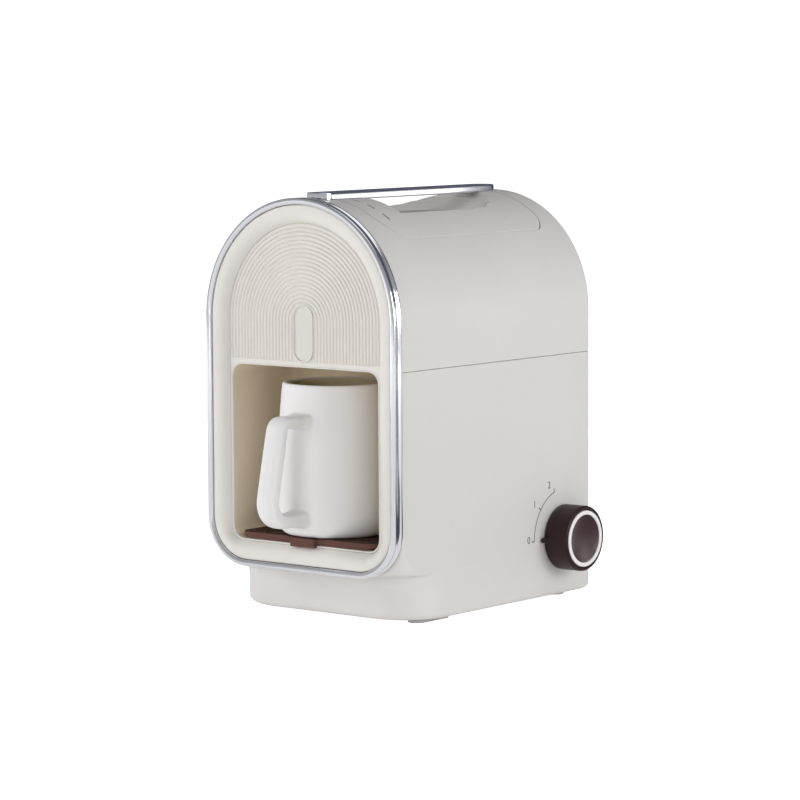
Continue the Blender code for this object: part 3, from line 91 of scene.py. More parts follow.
# ---- materials ----------------------------------------------------------------------------------
def surface(name, colour, rough, *, metal=0.0, coat=0.0, grain=1400.0, depth=0.04, spread=0.08,
            tint=0.04, clear=0.0, wear=0.25, weave=0.0, shine=0.5):
    """A procedural finish: mottled colour, uneven gloss, faint scuffs and a fine grain."""
    made = bpy.data.materials.new(name)
    made.use_nodes = True
    tree = made.node_tree
    shader = tree.nodes["Principled BSDF"]

    def node(kind, **inputs):
        added = tree.nodes.new(kind)
        for key, value in inputs.items():
            added.inputs[key.replace("_", " ")].default_value = value
        return added

    def wire(source, target):
        tree.links.new(source, target)

    where = node("ShaderNodeTexCoord").outputs["Object"]
    mottle = node("ShaderNodeTexNoise", Scale=14.0, Detail=4.0, Roughness=0.55)
    wire(where, mottle.inputs["Vector"])
    scuff = node("ShaderNodeTexNoise", Scale=70.0, Detail=6.0, Roughness=0.7, Distortion=0.6)
    wire(where, scuff.inputs["Vector"])
    fine = node("ShaderNodeTexNoise", Scale=grain, Detail=2.0)
    wire(where, fine.inputs["Vector"])

    shade = node("ShaderNodeMix")
    shade.data_type = "RGBA"
    shade.inputs[6].default_value = (*[c * (1 - tint) for c in colour], 1.0)
    shade.inputs[7].default_value = (*[min(1.0, c * (1 + tint)) for c in colour], 1.0)
    wire(mottle.outputs["Fac"], shade.inputs[0])
    marks = node("ShaderNodeMapRange")
    for key, value in (("From Min", 0.60), ("From Max", 0.78), ("To Min", 0.0), ("To Max", wear)):
        marks.inputs[key].default_value = value
    wire(scuff.outputs["Fac"], marks.inputs["Value"])
    worn = node("ShaderNodeMix")
    worn.data_type = "RGBA"
    worn.inputs[7].default_value = (*[c * 0.86 for c in colour], 1.0)
    wire(marks.outputs["Result"], worn.inputs[0])
    wire(shade.outputs[2], worn.inputs[6])
    wire(worn.outputs[2], shader.inputs["Base Color"])

    gloss = node("ShaderNodeMapRange")
    gloss.inputs["To Min"].default_value = max(0.02, rough - spread)
    gloss.inputs["To Max"].default_value = min(1.0, rough + spread)
    wire(scuff.outputs["Fac"], gloss.inputs["Value"])
    wire(gloss.outputs["Result"], shader.inputs["Roughness"])

    bump = node("ShaderNodeBump", Strength=depth, Distance=0.0004)
    height = fine.outputs["Fac"]
    if weave:
        lines = []
        for direction in ("X", "Z"):
            wave = node("ShaderNodeTexWave", Scale=weave)
            wave.bands_direction = direction
            wire(where, wave.inputs["Vector"])
            lines.append(wave.outputs["Fac"])
        crossed = node("ShaderNodeMath")
        crossed.operation = "MULTIPLY"
        wire(lines[0], crossed.inputs[0])
        wire(lines[1], crossed.inputs[1])
        height = crossed.outputs[0]
    wire(height, bump.inputs["Height"])
    wire(bump.outputs["Normal"], shader.inputs["Normal"])
    shader.inputs["Metallic"].default_value = metal
    shader.inputs["Specular IOR Level"].default_value = shine
    shader.inputs["Coat Weight"].default_value = coat
    shader.inputs["Coat Roughness"].default_value = 0.12
    shader.inputs["Transmission Weight"].default_value = clear
    return made


FINISH = {
    "shell": surface("cream_shell", (0.66, 0.642, 0.615), 0.42, depth=0.05),
    "bezel": surface("warm_white", (0.735, 0.712, 0.67), 0.38, depth=0.04),
    # The ribbed field is the bezel's plastic painted darker and warmer: painted shade in the rib
    # valleys.
    "shaded_ribs": surface("bezel_with_painted_rib_shade", (0.71, 0.675, 0.62), 0.42, depth=0.04),
    "liner": surface("beige_liner", (0.84, 0.72, 0.54), 0.5, depth=0.05, tint=0.06),
    "chrome": surface("polished_trim", (0.80, 0.81, 0.84), 0.09, metal=1.0, grain=500.0,
                      depth=0.01, spread=0.04, tint=0.02, wear=0.15),
    "mat": surface("brown_mat", (0.050, 0.019, 0.013), 0.6, grain=2600.0, depth=0.25, tint=0.15,
                   wear=0.5, shine=0.25),
    # A lighter brown for the mat's sides, bevels and underside: a painted highlight along its rim.
    "mat_lit_edge": surface("brown_mat_painted_edge_highlight", (0.115, 0.053, 0.040), 0.6, grain=2600.0, depth=0.2,
                        tint=0.15, wear=0.4, shine=0.25),
    "knob": surface("dark_brown", (0.023, 0.008, 0.008), 0.40, grain=2000.0, depth=0.10,
                    tint=0.12, wear=0.3, shine=0.25),
    "knob_cap": surface("cap_brown", (0.050, 0.024, 0.025), 0.30, grain=2000.0,
                        depth=0.06, tint=0.1, shine=0.8),
    "badge": surface("badge_white", (0.69, 0.67, 0.62), 0.3, depth=0.03),
    "ceramic": surface("white_glaze", (0.79, 0.78, 0.77), 0.55, coat=0.04, grain=900.0,
                       depth=0.03, spread=0.06, tint=0.02, wear=0.1, shine=0.35),
    # A darker tan for the inside of the mug: painted shade and brown bounce light from the bay.
    "inside": surface("tan_painted_inner_shade", (0.62, 0.52, 0.34), 0.45, grain=300.0, depth=0.03),
    "dial_ring": surface("dial_ring", (0.86, 0.82, 0.805), 0.35, depth=0.03),
    "deck": surface("deck_white", (0.72, 0.70, 0.66), 0.45, depth=0.05),
    "tank": surface("clear_tank", (0.83, 0.88, 0.90), 0.16, clear=0.85, grain=900.0, depth=0.02,
                    spread=0.06, tint=0.01, wear=0.1),
    "sieve": surface("fine_mesh", (0.50, 0.48, 0.45), 0.35, metal=1.0, depth=0.8, weave=700.0,
                     tint=0.08),
    "steel": surface("zinc_steel", (0.56, 0.56, 0.57), 0.32, metal=1.0, depth=0.05, tint=0.08),
    "heater": surface("cast_aluminium", (0.53, 0.53, 0.54), 0.5, metal=1.0, grain=900.0,
                      depth=0.3, tint=0.1),
    "silicone": surface("milky_silicone", (0.68, 0.67, 0.63), 0.5, clear=0.25, depth=0.05),
    "black_plastic": surface("black_plastic", (0.025, 0.025, 0.026), 0.5, depth=0.12, tint=0.15),
    "black_rubber": surface("black_rubber", (0.035, 0.034, 0.033), 0.75, depth=0.2, tint=0.2,
                            wear=0.5),
    "pad": surface("grey_pad", (0.40, 0.39, 0.375), 0.7, depth=0.15, tint=0.1, wear=0.4),
    "print": surface("grey_print", (0.13, 0.125, 0.12), 0.6, depth=0.02, tint=0.2, wear=0.5),
}


# ---- building -----------------------------------------------------------------------------------
def to_world(point):
    """From the machine's millimetres to the shared frame's metres."""
    return (Vector(point) + OFFSET) / 1000.0


def as_object(name, points, faces):
    mesh = bpy.data.meshes.new(name)
    mesh.from_pydata([to_world(p) for p in points], [], faces)
    bm = bmesh.new()
    bm.from_mesh(mesh)
    bmesh.ops.recalc_face_normals(bm, faces=bm.faces)
    bm.to_mesh(mesh)
    bm.free()
    obj = bpy.data.objects.new(name, mesh)
    bpy.context.scene.collection.objects.link(obj)
    return obj


def loft(name, loops, closed=False):
    """A skin through loops of equally many points: capped, or joined last to first."""
    count = len(loops[0])
    points = [p for loop in loops for p in loop]
    faces = []
    last = len(loops) if closed else len(loops) - 1
    for a in range(last):
        b = (a + 1) % len(loops)
        for i in range(count):
            j = (i + 1) % count
            faces.append((a * count + i, a * count + j, b * count + j, b * count + i))
    if not closed:
        faces.append(tuple(range(count)))
        faces.append(tuple(range((len(loops) - 1) * count, len(loops) * count)))
    return as_object(name, points, faces)


def lathe(name, profile, centre, axis="Z", steps=96):
    """A closed profile of (radius, height) turned about an axis; zero radii are poles."""
    x0, y0, z0 = centre
    points, rows, faces = [], [], []
    for radius, height in profile:
        row = []
        for i in range(1 if radius == 0 else steps):
            a = 2 * math.pi * i / steps
            u, v = radius * math.cos(a), radius * math.sin(a)
            row.append(len(points))
            points.append({"Z": (x0 + u, y0 + v, z0 + height), "X": (x0 + height, y0 + u, z0 + v),
                           "Y": (x0 + u, y0 + height, z0 + v)}[axis])
        rows.append(row)
    pairs = list(zip(rows, rows[1:]))
    if len(rows[0]) > 1:
        pairs.append((rows[-1], rows[0]))
    for near, far in pairs:
        for i in range(steps):
            j = (i + 1) % steps
            corners = [near[i % len(near)], near[j % len(near)], far[j % len(far)],
                       far[i % len(far)]]
            unique = list(dict.fromkeys(corners))
            if len(unique) > 2:
                faces.append(tuple(unique))
    return as_object(name, points, faces)


def prism(name, outline, low, high, facing="Z"):
    if facing == "Z":
        return loft(name, [[(x, y, h) for x, y in outline] for h in (low, high)])
    if facing == "X":
        return loft(name, [[(h, y, z) for y, z in outline] for h in (low, high)])
    return loft(name, [[(x, h, z) for x, z in outline] for h in (low, high)])


def block(name, low, high):
    (x0, y0, z0), (x1, y1, z1) = low, high
    return prism(name, [(x0, y0), (x1, y0), (x1, y1), (x0, y1)], z0, z1)


def solve(obj):
    """Bake the modifiers into the mesh."""
    bpy.context.view_layer.update()
    graph = bpy.context.evaluated_depsgraph_get()
    mesh = bpy.data.meshes.new_from_object(obj.evaluated_get(graph))
    obj.modifiers.clear()
    obj.data = mesh


def combine(obj, operation, others):
    for other in others:
        modifier = obj.modifiers.new("combine", "BOOLEAN")
        modifier.operation, modifier.solver, modifier.object = operation, "EXACT", other
    solve(obj)
    for other in others:
        bpy.data.objects.remove(other)
    return obj


def cut(obj, *others):
    return combine(obj, "DIFFERENCE", others)


def join(obj, *others):
    return combine(obj, "UNION", others)


def piece(obj, finish, body="body", nodes=(), sharp=35, edge=0.0, segments=3, angle=35):
    """Finish a piece, hang it on its CAD body and let it stand for its CAD nodes."""
    if edge:
        modifier = obj.modifiers.new("soft edges", "BEVEL")
        modifier.width = edge / 1000.0
        modifier.segments = segments
        modifier.limit_method = "ANGLE"
        modifier.angle_limit = math.radians(angle)
        solve(obj)
    obj.data.materials.clear()
    obj.data.materials.append(FINISH[finish])
    obj.data.shade_smooth()
    obj.data.set_sharp_from_angle(angle=math.radians(sharp))
    if edge:
        modifier = obj.modifiers.new("even shading", "WEIGHTED_NORMAL")
        modifier.keep_sharp = True
    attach(obj, body)
    if nodes:
        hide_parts(*nodes)


# ---- outlines -----------------------------------------------------------------------------------
def arc(centre, radius, start, end, steps):
    angles = [math.radians(start + (end - start) * i / steps) for i in range(steps + 1)]
    return [(centre[0] + radius * math.cos(a), centre[1] + radius * math.sin(a)) for a in angles]


def rounded(low, high, radii, steps=12):
    (x0, y0), (x1, y1) = low, high
    a, b, c, d = radii
    return (arc((x0 + a, y0 + a), a, 180, 270, steps) + arc((x1 - b, y0 + b), b, 270, 360, steps)
            + arc((x1 - c, y1 - c), c, 0, 90, steps) + arc((x0 + d, y1 - d), d, 90, 180, steps))


def arch(inset=0.0, corner=None):
    half, low = HALF - inset, RING_BOTTOM + inset
    radius = RING_CORNER - inset if corner is None else corner
    return (arc((-half + radius, low + radius), radius, 180, 270, 16)
            + arc((half - radius, low + radius), radius, 270, 360, 16)
            + arc((0.0, DOME), half, 0, 180, ARCH_STEPS))


def dome(inset, bottom):
    half = HALF - inset
    return [(-half, bottom), (half, bottom)] + arc((0.0, DOME), half, 0, 180, ARCH_STEPS)


def plan(half, front, rear, front_corner, rear_corner):
    return rounded((-half, front), (half, rear),
                   (front_corner, front_corner, rear_corner, rear_corner))


def at_z(outline, z):
    return [(x, y, z) for x, y in outline]


def at_y(outline, y):
    return [(x, y, z) for x, z in outline]


def stadium(centre, length, width, steps=12):
    reach, (x, y) = (length - width) / 2, centre
    return (arc((x + reach, y), width / 2, -90, 90, steps)
            + arc((x - reach, y), width / 2, 90, 270, steps))


def smooth_corners(corners, steps=10):
    """An open or closed polyline with rounded corners: each corner is (y, z, radius)."""
    points = []
    for i, (y, z, radius) in enumerate(corners):
        if not radius:
            points.append((y, z))
            continue
        here = Vector((y, z))
        into = (Vector(corners[i - 1][:2]) - here).normalized()
        out = (Vector(corners[(i + 1) % len(corners)][:2]) - here).normalized()
        half_angle = into.angle(out) / 2
        centre = here + (into + out).normalized() * radius / math.sin(half_angle)
        reach = radius / math.tan(half_angle)
        start, end = here + into * reach - centre, here + out * reach - centre
        for k in range(steps + 1):
            step = start.normalized().slerp(end.normalized(), k / steps) * radius
            points.append((centre.x + step.x, centre.y + step.y))
    return points


# ---- casing -------------------------------------------------------------------------------------
def lower_shell():
    levels = []
    for i in range(9):
        a = math.radians(90 * i / 8)
        levels.append((FOOT + 5 * (1 - math.cos(a)), PLINTH_FRONT, RING_CORNER,
                       5 * (1 - math.sin(a))))
    setback = PLINTH_FRONT - SHELL_FRONT
    for i in range(13):
        a = math.radians(90 * i / 12)
        levels.append((RING_BOTTOM - setback * (1 - math.sin(a)),
                       PLINTH_FRONT - setback * (1 - math.cos(a)), RING_CORNER, 0.0))
    for i in range(1, 19):
        a = math.radians(90 * i / 18)
        levels.append((RING_BOTTOM + RING_CORNER * (1 - math.cos(a)), SHELL_FRONT,
                       max(RING_CORNER * (1 - math.sin(a)), 0.4), 0.0))
    levels.append((SEAM - 0.6, SHELL_FRONT, 0.4, 0.0))
    levels.append((SEAM - 0.3, SHELL_FRONT, 0.4, 0.08))
    levels.append((SEAM - 0.15, SHELL_FRONT, 0.4, 0.3))
    shell = loft("casing_lower", [at_z(plan(HALF - inset, front + inset, REAR - inset, corner,
                                            3.0), z) for z, front, corner, inset in levels])

    def hollow(z, front, corner, inset=WALL):
        return at_z(plan(HALF - inset, front, REAR - inset, corner, 0.4), z)

    top, opening, inside = FOOT + WALL, 9.0, PLINTH_FRONT + WALL
    core = loft("core", [
        hollow(0.0, PLINTH_FRONT + opening, RING_CORNER - opening, opening),
        hollow(top, PLINTH_FRONT + opening, RING_CORNER - opening, opening),
        hollow(top, inside, RING_CORNER - WALL),
        hollow(RING_BOTTOM + WALL, inside, RING_CORNER - WALL),
        hollow(RING_BOTTOM + RING_CORNER, SHELL_FRONT + WALL, 0.4),
        hollow(SEAM + WALL, SHELL_FRONT + WALL, 0.4)])
    window = prism("window", arch(13.0, BAY_CORNER + BAY_WALL + FIT), SHELL_FRONT - WALL,
                   PLINTH_FRONT + 2 * WALL, "Y")
    shaft = lathe("shaft_hole", [(0, -8.0), (3.6, -8.0), (3.6, 4.0), (0, 4.0)],
                  (HALF, KNOB_Y, KNOB_Z), "X", 48)
    gland = lathe("gland_hole", [(0, -8.0), (5.5, -8.0), (5.5, 4.0), (0, 4.0)],
                  (GLAND_X, REAR, GLAND_Z), "Y", 48)
    piece(cut(shell, core, window, shaft, gland), "shell", nodes=["lower_shell"], sharp=32)


def upper_shell():
    bottom = SEAM + 0.15
    sections = [at_y(dome(0.25, bottom), SHELL_FRONT), at_y(dome(0.0, bottom), SHELL_FRONT + 0.3)]
    for i in range(9):
        a = math.radians(90 * i / 8)
        sections.append(at_y(dome(3 * (1 - math.cos(a)), bottom), REAR - 3 * (1 - math.sin(a))))
    shell = loft("casing_upper", sections)
    core_outline = dome(WALL, SEAM - WALL)
    core = loft("core", [at_y(core_outline, SHELL_FRONT + WALL), at_y(core_outline, REAR - WALL)])
    window = prism("window", arch(13.0, BAY_CORNER + BAY_WALL + FIT), SHELL_FRONT - WALL,
                   SHELL_FRONT + 2 * WALL, "Y")
    lid_hole = prism("lid_hole", lid_outline(0.5), DECK, CROWN + WALL)
    cut(shell, core, window, lid_hole)
    boss_top = DOME + math.sqrt(HALF ** 2 - 14.0 ** 2) - FIT
    join(shell, block("boss", (-14.0, LID[2] + 1.0, HINGE_Z - 3.1), (14.0, REAR - 1.3, boss_top)))
    notch = block("notch", (-7.5, LID[2] - WALL, HINGE_Z - 4.9), (7.5, HINGE_Y + 2.8, CROWN + WALL))
    pin = lathe("pin_hole", [(0, -12.3), (1.2, -12.3), (1.2, 12.3), (0, 12.3)],
                (0.0, HINGE_Y, HINGE_Z), "X", 24)
    cut(shell, notch, pin)
    piece(shell, "shell", nodes=["upper_shell"], sharp=32, edge=0.22, segments=2, angle=50)


def underside():
    outline = plan(HALF - 9.3, PLINTH_FRONT + 9.3, REAR - 9.3, RING_CORNER - 9.3, 0.4)
    cover = prism("bottom_cover", outline, FOOT, FOOT + 2.3)
    panel = plan(HALF - 24.0, PLINTH_FRONT + 24.0, REAR - 24.0, 8.0, 8.0)
    groove = prism("groove", panel, FOOT - 1.0, FOOT + 0.6)
    island = prism("island", plan(HALF - 26.0, PLINTH_FRONT + 26.0, REAR - 26.0, 6.5, 6.5),
                   FOOT - 2.0, FOOT + 2.0)
    cut(groove, island)
    places = [(s * (HALF - 13.3), y) for y in (86.0, REAR - 40.0) for s in (-1, 1)]
    holes = [lathe(f"hole_{i}", [(0, -2.0), (1.7, -2.0), (1.7, 8.0), (0, 8.0)],
                   (x, y, FOOT), steps=32) for i, (x, y) in enumerate(places)]
    cut(cover, groove, *holes)
    piece(cover, "shell", nodes=["base_plate"], edge=0.3)
    for number, (x, y) in enumerate(places, 1):
        head = lathe(f"cover_screw_{number}", [
            (0, 13.0), (1.4, 13.0), (1.4, 0.0), (3.0, 0.0), (3.2, -0.4), (2.8, -1.1), (2.0, -1.35),
            (0, -1.4)], (x, y, FOOT - FIT), steps=48)
        cross = [block(f"cross_{i}", (x - a, y - b, 0.0), (x + a, y + b, FOOT - FIT - 0.55))
                 for i, (a, b) in enumerate(((1.7, 0.35), (0.35, 1.7)))]
        piece(cut(head, *cross), "steel", nodes=[f"base_screw_{number}"])
    for name, x, y, length in (("front_left", -1, 54.0, 34.4), ("front_right", 1, 54.0, 34.4),
                               ("rear_left", -1, 188.0, 12.4), ("rear_right", 1, 188.0, 12.4)):
        outline = [(x * 60.0 - v, y + u) for u, v in stadium((0.0, 0.0), length, 12.0, 16)]
        piece(prism(f"pad_{name}", outline, 0.0, FOOT - FIT), "pad",
              nodes=[f"foot_{name}"], edge=0.5)


# ---- front --------------------------------------------------------------------------------------
def chrome_ring():
    side = -RING_PROUD
    section = [(RING_WIDTH, RING_DEPTH), (side + 0.5, RING_DEPTH), (side + 0.15, RING_DEPTH - 0.15),
               (side, RING_DEPTH - 0.5), (side, RING_DEPTH - 1.2), (side + 0.1, RING_DEPTH - 1.6)]
    for i in range(1, 12):
        t = i / 12
        section.append((side + 0.1 + 0.75 * math.sin(math.pi * t) ** 0.8,
                        RING_DEPTH - 1.6 - (RING_DEPTH - 4.0) * t))
    section += [(side + 0.1, 2.4), (side, 2.1), (side, 1.4)]
    section += [(side + 1.5 - 1.5 * math.cos(a), 1.4 - 1.4 * math.sin(a))
                for a in (math.radians(15 * i) for i in range(1, 7))]
    section += [(1.4, 0.1), (2.2, 0.35), (2.6, 0.6), (RING_WIDTH, 1.0)]
    piece(loft("trim_ring", [at_y(arch(d), y) for d, y in section], closed=True), "chrome",
          nodes=["chrome_ring"], sharp=50)


def front_bezel():
    corner = RING_CORNER - BEZEL_START

    def edge(share, y):
        return at_y(arch(BEZEL_START + share * BEZEL_WIDTH,
                         corner + share * (FIELD_CORNER - corner)), y)

    back, drop = FIELD + 2.0, FIELD - BEZEL_TOP
    face = [edge(0.0, BEZEL_TOP + 0.9), edge(0.02, BEZEL_TOP + 0.45), edge(0.06, BEZEL_TOP + 0.15),
            edge(0.13, BEZEL_TOP)]
    for i in range(1, 25):
        share = i / 24
        face.append(edge(0.25 + 0.75 * share, BEZEL_TOP + drop * share ** 2.8))
    piece(loft("border", [edge(0.0, back)] + face + [edge(1.0, back)], closed=True), "bezel",
          nodes=["front_bezel"], sharp=50)


def ribbed_panel():
    """Concentric arches that stand on the bay's top edge, from the badge out to the border."""
    outer = HALF - FIELD_INSET - 0.05
    samples = 10
    rows = int((outer - 0.6) / RIB_PITCH * samples)
    loops = []
    for k in range(rows + 1):
        d = 0.6 + (outer - 0.6) * k / rows
        phase = (outer - d) / RIB_PITCH % 1.0
        fade = min(1.0, max(0.0, (d - 7.0) / 2.0)) * min(1.0, (outer - d) / 0.8 + 0.05)
        y = FIELD - RIB_HEIGHT * fade * (1 - abs(2 * phase - 1) ** 2.8)
        side = [(d, y, PANEL_BOTTOM + (DOME - PANEL_BOTTOM) * i / 4) for i in range(4)]
        top = [(x, y, z) for x, z in arc((0.0, DOME), d, 0, 180, 96)]
        loops.append(side + top + [(-x, yy, z) for x, yy, z in reversed(side)])
    count = len(loops[0])
    points = [p for loop in loops for p in loop]
    faces = [(a * count + i, a * count + i + 1, (a + 1) * count + i + 1, (a + 1) * count + i)
             for a in range(rows) for i in range(count - 1)]
    panel = as_object("ribbed_front", points, faces)
    if panel.data.polygons[0].normal.y > 0:
        panel.data.flip_normals()
    thick = panel.modifiers.new("thickness", "SOLIDIFY")
    thick.thickness, thick.offset = 0.0016, -1.0
    solve(panel)
    # Its finish is the bezel plastic painted darker, as painted shade in the rib valleys.
    piece(panel, "shaded_ribs", nodes=["ribbed_panel"], sharp=60)


def badge_plate():
    low, high, width = BADGE
    middle, back = (low + high) / 2, FIELD - FIT

    def pill(inset, y):
        return [(-v, y, middle + u)
                for u, v in stadium((0.0, 0.0), high - low - 2 * inset, width - 2 * inset, 24)]

    plate = loft("badge", [pill(0.0, back), pill(0.0, back - 0.8), pill(0.15, back - 1.0),
                           pill(0.45, back - 1.1), pill(0.85, back - 1.0), pill(1.05, back - 0.7),
                           pill(1.15, back - 0.25), pill(2.6, back - 0.25), pill(6.0, back - 0.3)])
    piece(plate, "badge", nodes=["badge_plate"], sharp=50)


# ---- mug bay ------------------------------------------------------------------------------------
def bay(y, half, grow=0.0):
    return at_y(rounded((-half - grow, BAY_FLOOR - grow), (half + grow, BAY_CEILING + grow),
                        (BAY_CORNER + grow,) * 4, 8), y)


def bay_liner():
    def shape(grow):
        depth, closing = BAY_BACK - BAY_STRAIGHT + grow, BAY_HALF - BAY_BACK_HALF
        for i in range(25):
            a = math.radians(90 * i / 24)
            yield bay(BAY_STRAIGHT + depth * math.sin(a), BAY_BACK_HALF + closing * math.cos(a),
                      grow)

    rim_half, foot = HALF - FIELD_INSET - 0.05, FIELD_CORNER - FIT

    def rim(y):
        return at_y(rounded((-rim_half, RING_BOTTOM + FIELD_INSET + FIT),
                            (rim_half, PANEL_BOTTOM - 0.05), (foot, foot, 0.4, 0.4), 8), y)

    loops = list(shape(0.0))[::-1]
    loops += [bay(FIELD + 1.4, BAY_HALF), bay(FIELD + 0.1, BAY_HALF, 0.05),
              bay(FIELD - 0.3, BAY_HALF, 0.25), bay(FIELD - 0.45, BAY_HALF, 0.6),
              bay(FIELD - 0.3, BAY_HALF, 0.95), bay(FIELD, BAY_HALF, 1.15)]
    loops += [rim(FIELD), rim(FIELD + 2.0), bay(SHELL_FRONT, BAY_HALF, BAY_WALL)]
    loops += list(shape(BAY_WALL))
    liner = loft("mug_bay", loops)
    spout = lathe("spout_hole", [(0, -2.0), (6.1, -2.0), (6.1, 4.0), (0, 4.0)],
                  (0.0, BREW_Y, BAY_CEILING), steps=64)
    cut(liner, spout)
    piece(liner, "liner", nodes=["bay_liner"], sharp=45)
    for polygon in liner.data.polygons:
        if polygon.center.y * 1000 - OFFSET.y < FIELD + 1.5 and polygon.normal.y < -0.02:
            polygon.material_index = 1
    liner.data.materials.append(FINISH["bezel"])


def mat_outline(inset=0.0):
    half = BAY_HALF - 3.7 - inset
    depth = BAY_BACK - BAY_STRAIGHT - 3.7 - inset
    tip, tab = MAT_FRONT - 4.6, 10.0
    points = arc((-half + 8, MAT_FRONT + 8), 8, 180, 270, 10)
    points += arc((-tab - 2.5, MAT_FRONT - 2.5), 2.5, 90, 0, 6)
    points += arc((-tab + 1.9, tip + 1.9), 1.9, 180, 270, 8)
    points += arc((tab - 1.9, tip + 1.9), 1.9, 270, 360, 8)
    points += arc((tab + 2.5, MAT_FRONT - 2.5), 2.5, 180, 90, 6)
    points += arc((half - 8, MAT_FRONT + 8), 8, 270, 360, 10)
    curve = [(12 + (half - 12) * math.cos(a), BAY_STRAIGHT + depth * math.sin(a))
             for a in (math.radians(90 * i / 20) for i in range(21))]
    return points + curve + [(-x, y) for x, y in reversed(curve)]


def drip_mat():
    """The mat with a seat for the mug, grip dips and a tab that hangs over the sill."""
    top = MAT_Z + MAT_THICK
    mat = loft("mat", [at_z(mat_outline(2.9), MAT_Z), at_z(mat_outline(), MAT_Z + 1.5),
                       at_z(mat_outline(), top)])
    under = block("under", (-20.0, -5.0, MAT_Z - 2), (20.0, MAT_FRONT - 1.4, top - 3.3))
    seat = lathe("seat", [(31.4, -0.5), (33.4, -0.5), (33.4, 2.0), (31.4, 2.0)],
                 (0.0, MUG_Y, top), steps=96)
    dips = [block(f"dip_{i}", (side * x - 1.0, 14.0, top - 0.6), (side * x + 1.0, 62.0, top + 2))
            for i, (side, x) in enumerate(((-1, 44.0), (1, 44.0), (-1, 39.5), (1, 39.5)))]
    cut(mat, under, seat, *dips)
    join(mat, block("tab_lip", (-9.6, MAT_FRONT - 4.4, 46.7), (9.6, MAT_FRONT - 1.6, top - 2.0)))
    piece(mat, "mat", "mat", nodes=["drip_mat"], edge=0.45, angle=40)
    # Faces that do not face up take the lighter brown: a painted highlight along the mat's edges.
    mat.data.materials.append(FINISH["mat_lit_edge"])
    for polygon in mat.data.polygons:
        if polygon.normal.z < 0.6:
            polygon.material_index = 1


# ---- lid ----------------------------------------------------------------------------------------
def lid_outline(grow=0.0):
    half, front, rear, front_corner, rear_corner = LID
    return rounded((-half - grow, front - grow), (half + grow, rear + grow),
                   (front_corner + grow,) * 2 + (rear_corner + grow,) * 2, 20)


def dome_solid(name, inset, front, rear):
    outline = dome(inset, DOME - WALL)
    return loft(name, [at_y(outline, front), at_y(outline, rear)])


def dish_slope(share):
    """Height of the dish at a share of its radius: flat, then rising to the dome."""
    return DISH_FLOOR + (CROWN - DISH_FLOOR + FIT) * share ** 6


def dish_cutters():
    """The dish as a straight trough with a rippled bowl at its rear end."""
    top = 2 * CROWN - DISH_FLOOR
    bowl = [(0.0, top), (DISH_R, top)]
    for i in range(160, 4, -1):
        share = i / 160
        radius = DISH_R * share
        wave = 0.5 + 0.5 * math.cos(2 * math.pi * (DISH_R - radius) / RIPPLE_PITCH)
        fade = min(1.0, max(0.0, (radius - 16.0) / 5.0))
        bowl.append((radius, dish_slope(share) + RIPPLE_HEIGHT * fade * (wave - 1.0)))
    bowl.append((0.0, DISH_FLOOR))
    slope = [(DISH_R * i / 40, dish_slope(i / 40)) for i in range(40, 4, -1)]
    section = [(DISH_R, top)] + slope + [(-x, z) for x, z in reversed(slope)] + [(-DISH_R, top)]
    trough = loft("trough", [at_y(section, DISH_FRONT), at_y(section, DISH_Y)])
    return trough, lathe("bowl", bowl, (0.0, DISH_Y, 0.0), steps=160)


def top_lid():
    reach = DISH_R + 2.5
    tub_outline = ([(-reach, DISH_FRONT - 2.5), (reach, DISH_FRONT - 2.5)]
                   + arc((0.0, DISH_Y), reach, 0, 180, 48))
    tub = prism("tub", tub_outline, DISH_FLOOR - 2.5, CROWN + WALL)
    combine(tub, "INTERSECT", [dome_solid("tub_skin", 0.1, 0.0, REAR)])
    lid = prism("lid", lid_outline(-0.15), DOME, CROWN + WALL)
    combine(lid, "INTERSECT", [dome_solid("skin", 0.0, 0.0, REAR)])
    cut(lid, dome_solid("core", 2.5, -WALL, REAR + WALL))
    join(lid, tub)
    cut(lid, *dish_cutters())
    arm = block("arm", (-7.0, LID[2] - 2.0, HINGE_Z - 2.3), (7.0, HINGE_Y, CROWN - 0.6))
    knuckle = lathe("knuckle", [(0, -7.0), (2.3, -7.0), (2.3, 7.0), (0, 7.0)],
                    (0.0, HINGE_Y, HINGE_Z), "X", 40)
    join(lid, arm, knuckle)
    cutters = [lathe("pin", [(0, -9.6), (1.2, -9.6), (1.2, 9.6), (0, 9.6)],
                     (0.0, HINGE_Y, HINGE_Z), "X", 24)]
    for side in (-1, 1):
        for i in range(3):
            x = side * (12.0 * (i + 1) + 2.5)
            cutters.append(prism(f"slot_{side}_{i}", stadium((x, 40.0), 7.0, 1.9, 8), DECK,
                                 CROWN + WALL))
    cut(lid, *cutters)
    piece(lid, "shell", "lid", nodes=["top_lid"], sharp=30, edge=0.36, segments=2, angle=38)


def lid_handle():
    middle = (BAR_FRONT + BAR_REAR) / 2
    outline = [(-v, middle + u)
               for u, v in stadium((0.0, 0.0), BAR_REAR - BAR_FRONT, 2 * BAR_HALF, 32)]
    bar = prism("bar", outline, BAR_TOP - BAR_THICK, BAR_TOP)
    soft = bar.modifiers.new("soft", "BEVEL")
    soft.width, soft.segments, soft.limit_method = 0.0009, 4, "ANGLE"
    solve(bar)
    cut(bar, dome_solid("seat_front", -FIT, BAR_FRONT - 9, DISH_FRONT + FIT),
        dome_solid("seat_rear", -FIT, DISH_Y + DISH_R - 5.2, BAR_REAR + 9))
    piece(bar, "chrome", "lid", nodes=["lid_handle"], sharp=40)


# ---- deck, tank and filter ----------------------------------------------------------------------
def tank_outline(grow=0.0):
    return rounded((-46.5 - grow, 113.0 - grow), (46.5 + grow, 185.0 + grow),
                   (12.0 + grow,) * 4, 10)


